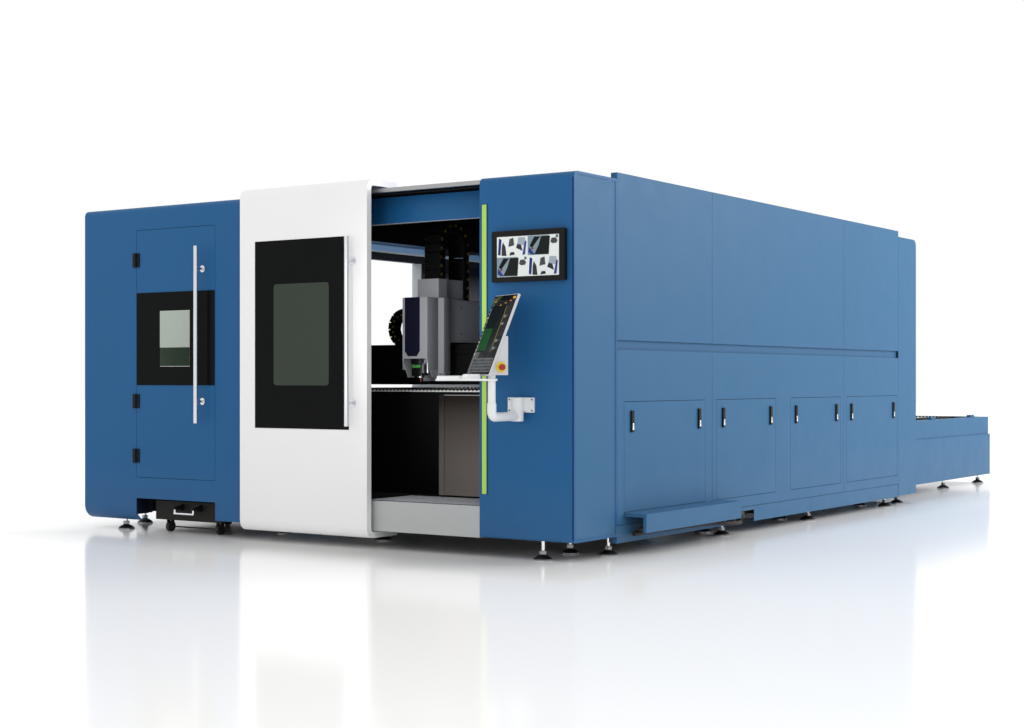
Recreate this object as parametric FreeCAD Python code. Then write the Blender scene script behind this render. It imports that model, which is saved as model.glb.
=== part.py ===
import FreeCAD, Part
import math
import os

# Enclosed fibre laser sheet cutter with a double-deck pallet lift behind it.
# Everything is drawn in millimetres from the cabinet's front right corner on the floor:
# X to the right, Y to the back, Z up. The finished nodes are moved at the end, so that the
# origin is the middle of the footprint, on the floor.

os.makedirs("parts", exist_ok=True)
V = FreeCAD.Vector

# ---------------------------------------------------------------- driving dimensions
CABINET_WIDTH = 4225.0
CABINET_LENGTH = 5710.0
FRONT_DEPTH = 500.0          # front section, in front of the side cladding
REAR_START = 5283.0          # rear section starts behind the side cladding
SHELL_TOP = 2320.0
SHELL_BOTTOM = 120.0
LEFT_BOTTOM = 72.0           # the left front cover reaches lower
SIDE_TOP = 2360.0
SHEET = 3.0                  # cabinet sheet metal
PAN_DEPTH = 45.0             # folded depth of a cladding panel
SEAM = 3.0                   # gap between neighbouring panels
TUBE = 60.0                  # square tube of the cabinet frame
TOP_ROUND = 40.0             # fold radius along the cabinet's top edge
LEFT_ROUND = 95.0            # fold radius along the left cover's bottom edge
RIGHT_ROUND = 14.0           # the same along the right cover's

DOORWAY_LEFT = -1562.0       # operator doorway
DOORWAY_RIGHT = -680.0
DOOR_PARKED = -1509.0        # right edge of the sliding door when it is open
SILL_TOP = 310.0

DOOR_WIDTH = 1101.0          # white sliding door, parked open to the left
DOOR_FACE = -70.0
DOOR_SKIN = 44.0
DOOR_FLANGE = 40.0
DOOR_BACK = 240.0
DOOR_TOP = 2370.0
DOOR_BOTTOM = 70.0
DOOR_ROUND = 65.0
DOOR_TRAVEL = 829.0

SERVICE_LEFT = -3684.0       # hinged service door in the left front section
SERVICE_RIGHT = -2909.0
SERVICE_BOTTOM = 386.0
SERVICE_TOP = 2153.0
BAY_TOP = 238.0              # cut-out under the service door, for the scrap trolley
HINGE_AXIS_Y = -12.0

HANDLE_ROD = 32.0
SIDE_SEAMS = (500.0, 1780.0, 4076.0, 5280.0)
WINDOW_END = 3940.0          # back edge of the large window in the left side
ACCESS_SPANS = ((586.0, 1679.0), (1847.0, 2801.0), (3058.0, 4015.0), (4135.0, 5250.0))
ACCESS_BOTTOM = 262.0
ACCESS_TOP = 950.0
GROOVE_BOTTOM = 1270.0
GROOVE_TOP = 1330.0
LATCH_INSET = 95.0           # latch centre from the side of its access panel
LATCH_SIZE = (12.0, 34.0, 134.0)
LATCH_TOP = 892.0

BED_CENTRE = -1580.0
PALLET_WIDTH = 1760.0
PALLET_LENGTH = 3050.0
PALLET_FRONT = 545.0
PALLET_TOP = 1030.0
PALLET_DEPTH = 140.0         # skid to slat tip
SLAT_PITCH = 105.0
LEVEL_STEP = 330.0           # height between the lift's two decks
LIFT_PALLET_FRONT = 5740.0

BEAM_FRONT = 700.0           # gantry beam, parked at the front
BEAM_BACK = 1050.0
BEAM_BOTTOM = 1052.0
BEAM_TOP = 1325.0
HEAD_X = -1497.0
HOOD_X = -1477.0
HEAD_FRONT = 390.0

TABLE_LEFT = -2830.0
TABLE_RIGHT = -330.0
TABLE_FRONT = 5713.0
TABLE_END = 8820.0
TABLE_TOP = 695.0

SWIVEL_X = -361.0            # console arm
SWIVEL_Y = -60.0
POST_Y = -330.0
ARM_HEIGHT = 866.0
CONSOLE_TURN = -30.0
SCREEN_LEAN = 22.0
PIVOT_PLAY = 0.05            # radial play of a running fit

TROLLEY_LEFT = -3570.0
TROLLEY_RIGHT = -2925.0
TROLLEY_FRONT = 80.0
TROLLEY_BACK = 780.0
WHEEL_RADIUS = 37.5
AXLE_Y = (135.0, 715.0)


# ---------------------------------------------------------------- shape helpers
def block(x0, x1, y0, y1, z0, z1):
    """Box between two corners."""
    return Part.makeBox(x1 - x0, y1 - y0, z1 - z0, V(x0, y0, z0))


def rod(start, axis, radius, length):
    """Cylinder from a start point along an axis."""
    return Part.makeCylinder(radius, length, V(*start), V(*axis))


def fused(shapes):
    """One solid from touching shapes."""
    return shapes[0].multiFuse(list(shapes[1:])).removeSplitter()


def welded(members):
    """Separate solids, each cut back to the ones before it, so that they meet face to face."""
    solids = []
    for member in members:
        rest = member
        for earlier in solids:
            if rest.BoundBox.intersect(earlier.BoundBox):
                rest = rest.cut(earlier)
        solids += rest.Solids
    return solids


def rounded(shape, radius, wanted):
    """Fillet the straight edges whose middle point passes the test."""
    edges = []
    for edge in shape.Edges:
        middle = edge.valueAt((edge.FirstParameter + edge.LastParameter) / 2)
        if wanted(middle):
            edges.append(edge)
    return shape.makeFillet(radius, edges)


def near(a, b):
    return abs(a - b) < 0.01


def prism(points, direction):
    """Solid from a flat outline swept along a direction."""
    corners = [V(*p) for p in points]
    outline = Part.makePolygon(corners + [corners[0]])
    return Part.Face(outline).extrude(V(*direction))


def rounded_plate_y(x0, x1, y0, y1, z0, z1, radius):
    """Plate across Y with its four corners rounded."""
    plate = block(x0, x1, y0, y1, z0, z1)
    middle_y = (y0 + y1) / 2
    return rounded(plate, radius, lambda p: near(p.y, middle_y))


def folded_front(x0, x1, front, back, bottom, top, radii, thickness):
    """C-shaped fold that wraps over the top and under the bottom of the cabinet."""
    bottom_round, top_round = radii
    outer = block(x0, x1, front, back, bottom, top)
    outer = rounded(outer, top_round, lambda p: near(p.y, front) and near(p.z, top))
    outer = rounded(outer, bottom_round, lambda p: near(p.y, front) and near(p.z, bottom))
    inner = block(x0 - 1, x1 + 1, front + thickness, back + 1, bottom + thickness, top - thickness)
    inside_front = front + thickness
    inside_top = top - thickness
    inside_bottom = bottom + thickness
    inner = rounded(inner, top_round - thickness, lambda p: near(p.y, inside_front) and near(p.z, inside_top))
    inner = rounded(
        inner, bottom_round - thickness, lambda p: near(p.y, inside_front) and near(p.z, inside_bottom)
    )
    return outer.cut(inner)


def pan(outer_x, inner_x, y0, y1, z0, z1):
    """Folded cladding panel: a skin with edges turned back towards inner_x."""
    body = block(min(outer_x, inner_x), max(outer_x, inner_x), y0, y1, z0, z1)
    if outer_x > inner_x:
        pocket = (inner_x - 1, outer_x - SHEET)
    else:
        pocket = (outer_x + SHEET, inner_x + 1)
    hollow = block(pocket[0], pocket[1], y0 + SHEET, y1 - SHEET, z0 + SHEET, z1 - SHEET)
    return body.cut(hollow)


def hex_nut(x, y, z0, across, height):
    corners = []
    for i in range(6):
        turn = math.radians(60 * i)
        reach = across / 2 / math.cos(math.radians(30))
        corners.append((x + reach * math.cos(turn), y + reach * math.sin(turn), z0))
    return prism(corners, (0, 0, height))


def bar_handle(x, face, low, high, stand_off, posts):
    """Round grab bar on two posts with rosettes against the door face."""
    axis_y = face - stand_off
    pieces = [rod((x, axis_y, low), (0, 0, 1), HANDLE_ROD / 2, high - low)]
    for z in posts:
        pieces.append(rod((x, axis_y, z), (0, 1, 0), 9, stand_off))
        pieces.append(rod((x, face - 6, z), (0, 1, 0), 24, 6))
    return fused(pieces)


# ---------------------------------------------------------------- cabinet
def cabinet_frame():
    """Welded square tube frame that carries the cladding, the roof and the doorway's header."""
    right = (-47 - TUBE, -47)
    left = (-CABINET_WIDTH + 47, -CABINET_WIDTH + 47 + TUBE)
    low, high = 125.0, 2296.0
    front = (100.0, 100.0 + TUBE)
    back = (5215.0, 5215.0 + TUBE)
    tubes = []
    for span in (right, left):
        tubes.append(block(*span, front[0], back[1], low, low + TUBE))
        tubes.append(block(*span, front[0], back[1], high - TUBE, high))
        tubes.append(block(*span, *front, low, high))
        tubes.append(block(*span, *back, low, high))
    for y in (1745.0, 2900.0, 4045.0):
        tubes.append(block(*right, y, y + TUBE, low, high))
    for y in (1745.0, 2900.0):
        tubes.append(block(*left, y, y + TUBE, low, 1008))
    for y in (502.0, WINDOW_END + 4):
        tubes.append(block(*left, y, y + TUBE, low, high))
    # cross members: doorway header, roof ties and bottom ties
    tubes.append(block(left[0], right[1], 190, 190 + TUBE, 2100, high))
    for y in (1745.0, 4045.0, back[0]):
        tubes.append(block(left[0], right[1], y, y + TUBE, high - TUBE, high))
    tubes.append(block(left[0], right[1], *back, low, low + TUBE))
    tubes.append(block(left[0], -3690, *front, low, low + TUBE))
    tubes.append(block(-2900, right[1], *front, low, low + TUBE))
    tubes.append(block(-2820, right[1], 440, 500, low, low + TUBE))
    # uprights beside the service bay and the doorway
    for x in (-3750.0, -2900.0, -1768.0, -677.0):
        tubes.append(block(x, x + TUBE, *front, low, 2100 + TUBE))
        tubes.append(block(x, x + TUBE, front[1], 190, 2100, 2100 + TUBE))
    return welded(tubes)


def front_shell_left():
    """Left front cover with the service doorway and the trolley cut-out."""
    right_edge = DOORWAY_LEFT - 3
    shell = folded_front(
        -CABINET_WIDTH, right_edge, 0, FRONT_DEPTH, LEFT_BOTTOM, SHELL_TOP, (LEFT_ROUND, TOP_ROUND), SHEET
    )
    shell = shell.cut(block(-CABINET_WIDTH - 1, right_edge + 1, 118, FRONT_DEPTH + 1, 50, 200))
    shell = shell.cut(block(SERVICE_LEFT, SERVICE_RIGHT, -1, SHEET + 1, SERVICE_BOTTOM, SERVICE_TOP))
    shell = shell.cut(block(SERVICE_LEFT, SERVICE_RIGHT, -1, 120, 50, BAY_TOP))
    # the cover stops 40 mm higher beside the bay, with its own turned-in lip
    low = LEFT_BOTTOM + 40
    shell = shell.cut(block(SERVICE_RIGHT - 1, right_edge + 1, -1, 120, 50, LEFT_BOTTOM + LEFT_ROUND))
    face = block(SERVICE_RIGHT, right_edge, 0, SHEET, low, LEFT_BOTTOM + LEFT_ROUND + 1)
    lip = block(SERVICE_RIGHT, right_edge, SHEET - 0.5, 45, low, low + SHEET)
    return [fused([shell, face, lip]).removeSplitter()]


def front_shell_right():
    """Right front cover beside the doorway, with a turned-in rim round its end plate."""
    shell = folded_front(
        DOORWAY_RIGHT, 0, 0, FRONT_DEPTH, SHELL_BOTTOM, SHELL_TOP, (RIGHT_ROUND, TOP_ROUND), SHEET
    )
    shell = shell.cut(block(DOORWAY_RIGHT - 1, -SHEET, 118, FRONT_DEPTH + 1, 100, 200))
    rim_outer = folded_end(0, 18, -SHEET)
    edge = block(DOORWAY_RIGHT, DOORWAY_RIGHT + SHEET, SHEET - 0.5, 45, 140, SHELL_TOP - TOP_ROUND)
    return [fused([shell, rim_outer, edge])]


def end_outline(inset, x, thickness, back_inset, bottom, bottom_round):
    """Solid plate with the front section's side outline, drawn in by an inset."""
    front = inset
    low = bottom + inset
    high = SHELL_TOP - inset
    plate = block(x, x + thickness, front, FRONT_DEPTH - back_inset, low, high)
    plate = rounded(plate, max(TOP_ROUND - inset, 4), lambda p: near(p.y, front) and near(p.z, high))
    return rounded(plate, max(bottom_round - inset, 4), lambda p: near(p.y, front) and near(p.z, low))


def folded_end(x, width, thickness):
    """Rim turned in round the end of the front section."""
    start = min(x, x + thickness)
    full = end_outline(0, start, abs(thickness), 0, SHELL_BOTTOM, RIGHT_ROUND)
    hole = end_outline(width, start - 1, abs(thickness) + 2, width, SHELL_BOTTOM, RIGHT_ROUND)
    return full.cut(hole)


def side_panels_right():
    """Right cladding: end plate, upper and lower panels, the groove strip and the sill."""
    pieces = [end_outline(18.5, -6, 3, 18.5, SHELL_BOTTOM, RIGHT_ROUND)]
    spans = list(zip(SIDE_SEAMS[:-1], SIDE_SEAMS[1:]))
    for y0, y1 in spans:
        pieces.append(pan(0, -PAN_DEPTH, y0 + SEAM, y1, GROOVE_TOP, SIDE_TOP))
        panel = pan(0, -PAN_DEPTH, y0 + SEAM, y1, 189, GROOVE_BOTTOM)
        for a0, a1 in ACCESS_SPANS:
            if y0 < a0 < y1:
                panel = panel.cut(block(-PAN_DEPTH - 1, 1, a0, a1, ACCESS_BOTTOM, ACCESS_TOP))
        pieces.append(panel)
    pieces.append(block(-PAN_DEPTH, -20, SIDE_SEAMS[0] + SEAM, SIDE_SEAMS[-1], GROOVE_BOTTOM, GROOVE_TOP))
    sill = pan(-2, -PAN_DEPTH, SIDE_SEAMS[0] + SEAM, SIDE_SEAMS[-1], 77, 186)
    pieces.append(sill.cut(block(-PAN_DEPTH - 1, 1, 2000, 2440, 70, 159)))
    return pieces


def side_panels_left():
    """Left cladding, with the large window over the cutting area."""
    outer = -CABINET_WIDTH
    inner = outer + PAN_DEPTH
    end = end_outline(3.5, outer, 3, 3.5, LEFT_BOTTOM, LEFT_ROUND)
    end = end.cut(block(outer - 1, outer + 4, 118, 600, 50, 160))
    pieces = [end]
    spans = list(zip(SIDE_SEAMS[:-1], SIDE_SEAMS[1:]))
    for y0, y1 in spans:
        pieces.append(pan(outer, inner, y0 + SEAM, y1, 189, 1007))
    pieces.append(pan(outer, inner, SIDE_SEAMS[0] + SEAM, SIDE_SEAMS[-1], 2169, SIDE_TOP))
    pieces.append(pan(outer, inner, WINDOW_END, SIDE_SEAMS[-1], 1010, 2166))
    pieces.append(pan(outer + 2, inner, SIDE_SEAMS[0] + SEAM, SIDE_SEAMS[-1], 77, 186))
    return pieces


def rear_shell():
    """Rear section: folded cover with side plates and the pallet window."""
    back = CABINET_LENGTH
    top, bottom = 2312.0, 86.0
    outer = block(-CABINET_WIDTH, 0, REAR_START, back, bottom, top)
    outer = rounded(outer, 60, lambda p: near(p.y, back) and near(p.z, top))
    inner = block(
        -CABINET_WIDTH + SHEET, -SHEET, REAR_START - 1, back - SHEET, bottom + SHEET, top - SHEET
    )
    inner = rounded(inner, 60 - SHEET, lambda p: near(p.y, back - SHEET) and near(p.z, top - SHEET))
    shell = outer.cut(inner)
    window = block(BED_CENTRE - 1090, BED_CENTRE + 1090, back - 10, back + 1, 540, 1500)
    return [shell.cut(window)]


def roof_panel():
    """Roof sheets between the side cladding, resting on the frame."""
    left = -CABINET_WIDTH + 47
    sheets = []
    seams = (FRONT_DEPTH + 2, 2100.0, 3700.0, 5280.0)
    for y0, y1 in zip(seams[:-1], seams[1:]):
        sheets.append(block(left, -47, y0, y1 - 2, 2297, 2300))
    # short sheet over the doorway, between the two front covers
    sheets.append(block(DOORWAY_LEFT, DOORWAY_RIGHT - 1, 70, FRONT_DEPTH, 2313, 2316))
    return sheets


def door_rail():
    """Galvanised guide rail of the sliding door, seen across the top of the doorway."""
    return [block(-2600, DOORWAY_RIGHT - 1, 30, 66, 2286, 2312)]


def door_sill():
    """Folded sheet under the doorway."""
    x0, x1 = DOORWAY_LEFT, DOORWAY_RIGHT - 1
    front = block(x0, x1, 1, 1 + SHEET, SHELL_BOTTOM, SILL_TOP)
    top = block(x0, x1, 1, 48, SILL_TOP - SHEET, SILL_TOP)
    foot = block(x0, x1, 1, 48, SHELL_BOTTOM - SHEET, SHELL_BOTTOM)
    return [fused([front, top, foot])]


def tread_plate():
    """Chequered step plate on the doorway's floor."""
    return [block(DOORWAY_LEFT, DOORWAY_RIGHT - 1, 14, 48, SILL_TOP, SILL_TOP + 4).fuse(
        block(DOORWAY_LEFT + 1, DOORWAY_RIGHT - 5, 48, 476, SILL_TOP, SILL_TOP + 4)).removeSplitter()]


def light_strip():
    return [rounded_plate_y(-660, -627, -4, 0, 387, 2154, 3)]


def camera_monitor():
    """Wall monitor that shows the cutting area, with its bezel round a sunk display."""
    housing = rounded_plate_y(-568, -47, -32, 0, 1674, 1982, 8)
    return [housing.cut(block(-532, -84, -33, -30, 1703, 1949))]


def channel_cover():
    """Folded cable cover along the foot of the right side."""
    y0, y1 = ACCESS_SPANS[0][0], 1904.0
    reach, top, lip_low, edge = 159.0, 259.0, 143.0, 22.0
    top_sheet = block(1, reach, y0, y1, top - SHEET, top)
    lip_sheet = block(reach - SHEET, reach, y0, y1, lip_low, top)
    hem = block(reach - edge, reach, y0, y1, lip_low, lip_low + SHEET)
    sheets = [top_sheet, lip_sheet, hem]
    for y in (y0, y1 - SHEET):
        sheets.append(block(1, reach, y, y + SHEET, top - edge, top))
        sheets.append(block(reach - edge, reach, y, y + SHEET, lip_low, top))
    sheets.append(block(1, 1 + SHEET, y0, y1, top - edge, top))
    return [fused(sheets)]


def tangent_tube(points, radius):
    """Round tube on straight runs joined by tangent arcs as large as the runs allow."""
    corners = [V(*p) for p in points]
    edges = []
    start = corners[0]
    for before, corner, after in zip(corners[:-2], corners[1:-1], corners[2:]):
        back = before - corner
        ahead = after - corner
        turn = math.pi - back.getAngle(ahead)
        reach = 0.45 * min(back.Length, ahead.Length)
        print("hose bend radius", round(reach / math.tan(turn / 2)))
        back.normalize()
        ahead.normalize()
        arc_start = corner + back * reach
        arc_end = corner + ahead * reach
        middle_way = back + ahead
        middle_way.normalize()
        bend = reach / math.tan(turn / 2)
        middle = corner + middle_way * (bend / math.cos(turn / 2) - bend)
        edges.append(Part.LineSegment(start, arc_start).toShape())
        edges.append(Part.Arc(arc_start, middle, arc_end).toShape())
        start = arc_end
    edges.append(Part.LineSegment(start, corners[-1]).toShape())
    path = Part.Wire(edges)
    direction = corners[1] - corners[0]
    circle = Part.Wire([Part.Circle(corners[0], direction, radius).toShape()])
    tube = path.makePipeShell([circle], True, True)
    print("hose volume", round(tube.Volume), "of", round(math.pi * radius ** 2 * path.Length))
    return tube


HOSE_RADIUS = 15.0
HOSE_ROUTES = (
    ((112, 640, 168), (112, 1180, 166), (110, 1700, 166), (104, 1960, 172), (66, 2120, 160),
     (-14, 2256, 112), (-90, 2322, 97)),
    ((76, 640, 162), (76, 1180, 160), (76, 1700, 160), (70, 1940, 148), (34, 2060, 122),
     (-30, 2130, 104), (-90, 2165, 101)),
    ((40, 640, 130), (40, 1180, 128), (44, 1700, 122), (66, 1900, 102), (76, 2060, 96),
     (0, 2205, 98), (-90, 2255, 100)),
)


def hoses():
    """Cooling and gas hoses that run under the cover and turn in through the sill."""
    tubes = []
    for route in HOSE_ROUTES:
        tubes.append(tangent_tube(route, HOSE_RADIUS))
    return tubes


def levelling_foot(x, y, reach):
    """Swivel pad, cone, lock nut and threaded stem."""
    pad = rod((x, y, 0), (0, 0, 1), 59, 9)
    cone = Part.makeCone(54, 17, 26, V(x, y, 9))
    nut = hex_nut(x, y, 35, 36, 18)
    stem = rod((x, y, 50), (0, 0, 1), 10, reach - 50)
    return fused([pad, cone, nut, stem])


def levelling_feet():
    right_x = -74.0
    left_x = -CABINET_WIDTH + 74.0
    spots = []
    for y in (522.0, 2070.0, 3540.0, 5150.0):
        spots.append((right_x, y, 125))
        spots.append((left_x, y, 125))
    spots.append((-262.0, 70.0, SHELL_BOTTOM))
    spots.append((-3894.0, 98.0, LEFT_BOTTOM))
    for x in (-2700.0, -1800.0, -320.0):
        spots.append((x, 470.0, 125))
    for y in (2200.0, 3490.0, 5120.0):
        spots.append((-290.0, y, 120))
        spots.append((-2870.0, y, 120))
    spots.append((-120.0, 5560.0, 86))
    spots.append((-CABINET_WIDTH + 120.0, 5560.0, 86))
    for y in (5900.0, 7690.0, 8755.0):
        spots.append((TABLE_RIGHT - 110, y, 96))
        spots.append((TABLE_LEFT + 110, y, 96))
    return [levelling_foot(x, y, reach) for x, y, reach in spots]


# ---------------------------------------------------------------- bed, gantry and pallets
def bed_frame():
    """Welded cutting bed: two side beams, pallet ledges, cross ties, rails and racks."""
    half = PALLET_WIDTH / 2
    skid_level = PALLET_TOP - PALLET_DEPTH - 0.5
    parts = []
    rails = []
    for side in (-1, 1):
        outer = BED_CENTRE + side * 1330
        inner = BED_CENTRE + side * 980
        x0, x1 = min(outer, inner), max(outer, inner)
        beam = block(x0, x1, 540, 5200, SHELL_BOTTOM, 960)
        tunnel = block(x0 + 12, x1 - 12, 552, 5188, SHELL_BOTTOM + 12, 948)
        mouth = block(x0 + 90, x1 - 90, 539, 553, 300, 800)
        parts.append(beam.cut(tunnel).cut(mouth))
        ledge_end = BED_CENTRE + side * (half - 70)
        y0, y1 = 545.0, 5195.0
        parts.append(block(min(inner, ledge_end), max(inner, ledge_end), y0, y1, skid_level - 40, skid_level))
        rail_x = BED_CENTRE + side * 1150
        rails.append(block(rail_x - 17, rail_x + 17, 560, 5180, 960, 990))
        rack_x = BED_CENTRE + side * 1230
        rails.append(block(rack_x - 15, rack_x + 15, 560, 5180, 960, 985))
    for y in (560.0, 2080.0, 3600.0, 5100.0):
        parts.append(block(BED_CENTRE - 981, BED_CENTRE + 981, y, y + 80, 125, 205))
    return welded(parts) + rails


def bed_apron():
    """Cover sheet across the front of the bed, behind the doorway, in two parts."""
    seam = -1379.0
    low, top = SILL_TOP + 10, PALLET_TOP - 44
    front = PALLET_FRONT - 13
    dark = block(BED_CENTRE - 1330, seam - 1, front, front + SHEET, low, top)
    light = block(seam, BED_CENTRE + 1330, front, front + SHEET, low, top)
    post = block(seam, seam + 40, front - 8, front, low, top)
    return [dark, fused([light, post])]


def pallet(front, top):
    """Pallet frame on skids with cutting slats across it."""
    x0 = BED_CENTRE - PALLET_WIDTH / 2
    x1 = BED_CENTRE + PALLET_WIDTH / 2
    back = front + PALLET_LENGTH
    low = top - PALLET_DEPTH
    frame_low = low + 30
    frame_top = top - 30
    pieces = [
        block(x0, x0 + 60, front, back, frame_low, frame_top),
        block(x1 - 60, x1, front, back, frame_low, frame_top),
        block(x0, x1, front, front + 40, frame_low, frame_top),
        block(x0, x1, back - 40, back, frame_low, frame_top),
    ]
    for y in (front + 1000, front + 2030):
        pieces.append(block(x0, x1, y, y + 20, frame_low, frame_low + 30))
    for x in (x0 + 12, x1 - 52):
        for y in (front + 120, front + 1480, front + 2850):
            pieces.append(block(x, x + 40, y, y + 90, low, frame_low + 1))
    frame = welded(pieces)
    slats = []
    count = int((PALLET_LENGTH - 80 - 60) // SLAT_PITCH)
    first = front + 40 + (PALLET_LENGTH - 80 - (count - 1) * SLAT_PITCH) / 2
    for i in range(count):
        y = first + i * SLAT_PITCH
        slats.append(block(x0 + 61, x1 - 61, y - 2, y + 2, frame_low + 31, top))
    return frame + slats


def upper_pallet():
    return pallet(PALLET_FRONT, PALLET_TOP)


def lower_pallet():
    return pallet(LIFT_PALLET_FRONT, PALLET_TOP - LEVEL_STEP)


def lift_platform():
    """Double-deck lift frame that raises either deck to the cutting level."""
    upper = PALLET_TOP - PALLET_DEPTH - LEVEL_STEP
    lower = upper - LEVEL_STEP - 0.5
    y0 = LIFT_PALLET_FRONT + 10
    y1 = LIFT_PALLET_FRONT + PALLET_LENGTH - 10
    parts = []
    for side in (-1, 1):
        out = BED_CENTRE + side * (PALLET_WIDTH / 2 + 100)
        inn = BED_CENTRE + side * (PALLET_WIDTH / 2 + 40)
        lip = BED_CENTRE + side * (PALLET_WIDTH / 2 - 70)
        x0, x1 = min(out, inn), max(out, inn)
        for level in (upper, lower):
            parts.append(block(min(out, lip), max(out, lip), y0, y1, level - 50, level))
        for y in (y0, (y0 + y1) / 2 - 40, y1 - 80):
            parts.append(block(x0, x1, y, y + 80, lower, upper - 50))
    for y in (y0, y1 - 80):
        parts.append(block(BED_CENTRE - PALLET_WIDTH / 2, BED_CENTRE + PALLET_WIDTH / 2, y, y + 80,
                           lower - 50, lower - 10))
    return welded(parts)


def exchange_table():
    """Fixed table round the lift: skirts in two steps, corner guides and floor frame."""
    ledge = 517.0
    low = 96.0
    skirts = []
    for inset, z0, z1 in ((0.0, low, ledge), (14.0, ledge - SHEET, TABLE_TOP)):
        x0, x1 = TABLE_LEFT + inset, TABLE_RIGHT - inset
        y1 = TABLE_END - inset
        skirts.append(block(x0, x0 + SHEET, TABLE_FRONT, y1, z0, z1))
        skirts.append(block(x1 - SHEET, x1, TABLE_FRONT, y1, z0, z1))
        skirts.append(block(x0, x1, y1 - SHEET, y1, z0, z1))
    for z in (ledge - SHEET, TABLE_TOP - SHEET):
        skirts.append(block(TABLE_RIGHT - 90, TABLE_RIGHT if z < 600 else TABLE_RIGHT - 14,
                            TABLE_FRONT, TABLE_END - 14, z, z + SHEET))
        skirts.append(block(TABLE_LEFT if z < 600 else TABLE_LEFT + 14, TABLE_LEFT + 90,
                            TABLE_FRONT, TABLE_END - 14, z, z + SHEET))
    for x in (TABLE_LEFT + SHEET, TABLE_RIGHT - 80 - SHEET):
        for y in (TABLE_FRONT, 7200.0, TABLE_END - 14 - 80 - SHEET):
            skirts.append(block(x, x + 80, y, y + 80, low, ledge - SHEET))
        skirts.append(block(x, x + 80, TABLE_FRONT, TABLE_END - 20, low, low + 60))
    for y in (TABLE_FRONT, TABLE_END - 14 - 80 - SHEET):
        skirts.append(block(TABLE_LEFT + 60, TABLE_RIGHT - 60, y, y + 80, low, low + 60))
    table = welded(skirts)
    stops = []
    for side in (-1, 1):
        for y in (TABLE_FRONT + 400, 7180.0, TABLE_END - 480):
            x = BED_CENTRE + side * 1180
            stops.append(rounded_stop(x, y))
    return table + stops


def rounded_stop(x, y):
    """Low guide block on the table's top flange."""
    stop = block(x - 20, x + 20, y, y + 120, TABLE_TOP, TABLE_TOP + 26)
    return rounded(stop, 8, lambda p: near(p.z, TABLE_TOP + 26))


def gantry_beam():
    """Box beam across the bed on two trucks, with the head's rails on its front."""
    x0, x1 = BED_CENTRE - 1220, BED_CENTRE + 1220
    beam = block(x0, x1, BEAM_FRONT, BEAM_BACK, BEAM_BOTTOM, BEAM_TOP)
    beam = rounded(beam, 6, lambda p: near(p.x, (x0 + x1) / 2))
    trunk = block(x0 - 1, x1 + 1, BEAM_FRONT + 12, BEAM_BACK - 12, BEAM_BOTTOM + 12, BEAM_TOP - 12)
    ends = [block(x, x + 12, BEAM_FRONT + 11, BEAM_BACK - 11, BEAM_BOTTOM + 11, BEAM_TOP - 11)
            for x in (x0, x1 - 12)]
    shelf = block(x0 + 300, BED_CENTRE + 200, BEAM_BACK - 1, BEAM_BACK + 96, 1306, 1310)
    trucks = []
    for side in (-1, 1):
        rail_x = BED_CENTRE + side * 1150
        trucks.append(block(rail_x - 60, rail_x + 60, BEAM_FRONT + 6, BEAM_BACK - 6, 991, BEAM_BOTTOM + 1))
    body = fused([beam.cut(trunk)] + ends + [shelf])
    body = body.fuse(trucks[0]).fuse(trucks[1]).removeSplitter()
    rails = [block(x0 + 60, x1 - 60, BEAM_FRONT - 22, BEAM_FRONT, z, z + 24) for z in (1080.0, 1262.0)]
    return [body] + rails


def head_carriage():
    """Cross carriage: plate on the beam's front rails, box over the beam and the Z drive housing."""
    plate = block(HEAD_X - 95, HEAD_X + 95, 632, 677, 1076, 1340)
    box = block(HEAD_X - 135, HEAD_X + 135, 632, 1000, 1332, 1622)
    box = rounded(box, 8, lambda p: near(p.y, (632 + 1000) / 2))
    drive = block(HEAD_X - 21, HEAD_X + 92, 640, 836, 1621, 1757)
    drive = rounded(drive, 6, lambda p: near(p.z, (1621 + 1757) / 2))
    return [fused([plate, box, drive])]


def head_cover():
    """Folded hood round the cutting head, stepped out at the back, open below."""
    top, low, front = 1628.0, 1100.0, HEAD_FRONT

    def plan(offset, z, height):
        narrow = 102.5 - offset
        wide = 129.5 - offset
        corners = []
        for side, order in ((1, 1), (-1, -1)):
            run = [(side * narrow, front + offset), (side * narrow, front + 120 + offset * 0.4),
                   (side * wide, front + 147 + offset * 0.4), (side * wide, 610.0)]
            corners += run[::order]
        return prism([(HOOD_X + x, y, z) for x, y in corners], (0, 0, height))

    hood = plan(0, low, top - low).cut(plan(4, low - 1, top - low - 4))
    mouth = block(HOOD_X - 92, HOOD_X + 92, front - 1, front + 5, low - 1, 1224)
    slope = prism([(HOOD_X - 200, front - 1, 1212), (HOOD_X - 200, front - 1, low - 1),
                   (HOOD_X - 200, front + 58, low - 1)], (400, 0, 0))
    heel = block(HOOD_X - 200, HOOD_X + 200, front + 125, 620, low - 1, 1128)
    hood = hood.cut(mouth).cut(slope).cut(heel)
    top_box = block(HOOD_X - 85, HOOD_X + 90, 529, 630, top - 1, 1757)
    top_box = rounded(top_box, 5, lambda p: near(p.z, (top - 1 + 1757) / 2))
    return [fused([hood, top_box])]


def laser_head():
    """Cutting head: collimator block, focus body, sensor ring and copper nozzle on one axis."""
    x, y = HOOD_X, 455.0
    stack = [
        block(x - 42, x + 42, y - 42, y + 60, 1190, 1560),
        block(x - 34, x + 34, y - 34, y + 34, 1112, 1191),
        rod((x, y, 1098), (0, 0, 1), 26, 15),
        Part.makeCone(5, 18, 20, V(x, y, 1079)),
        rod((x, y, 1073), (0, 0, 1), 5, 8),
        rod((x + 52, y + 10, 1130), (0, 0, 1), 13, 130),
        block(x + 30, x + 60, y, y + 20, 1240, 1258),
    ]
    return [fused(stack)]


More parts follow.
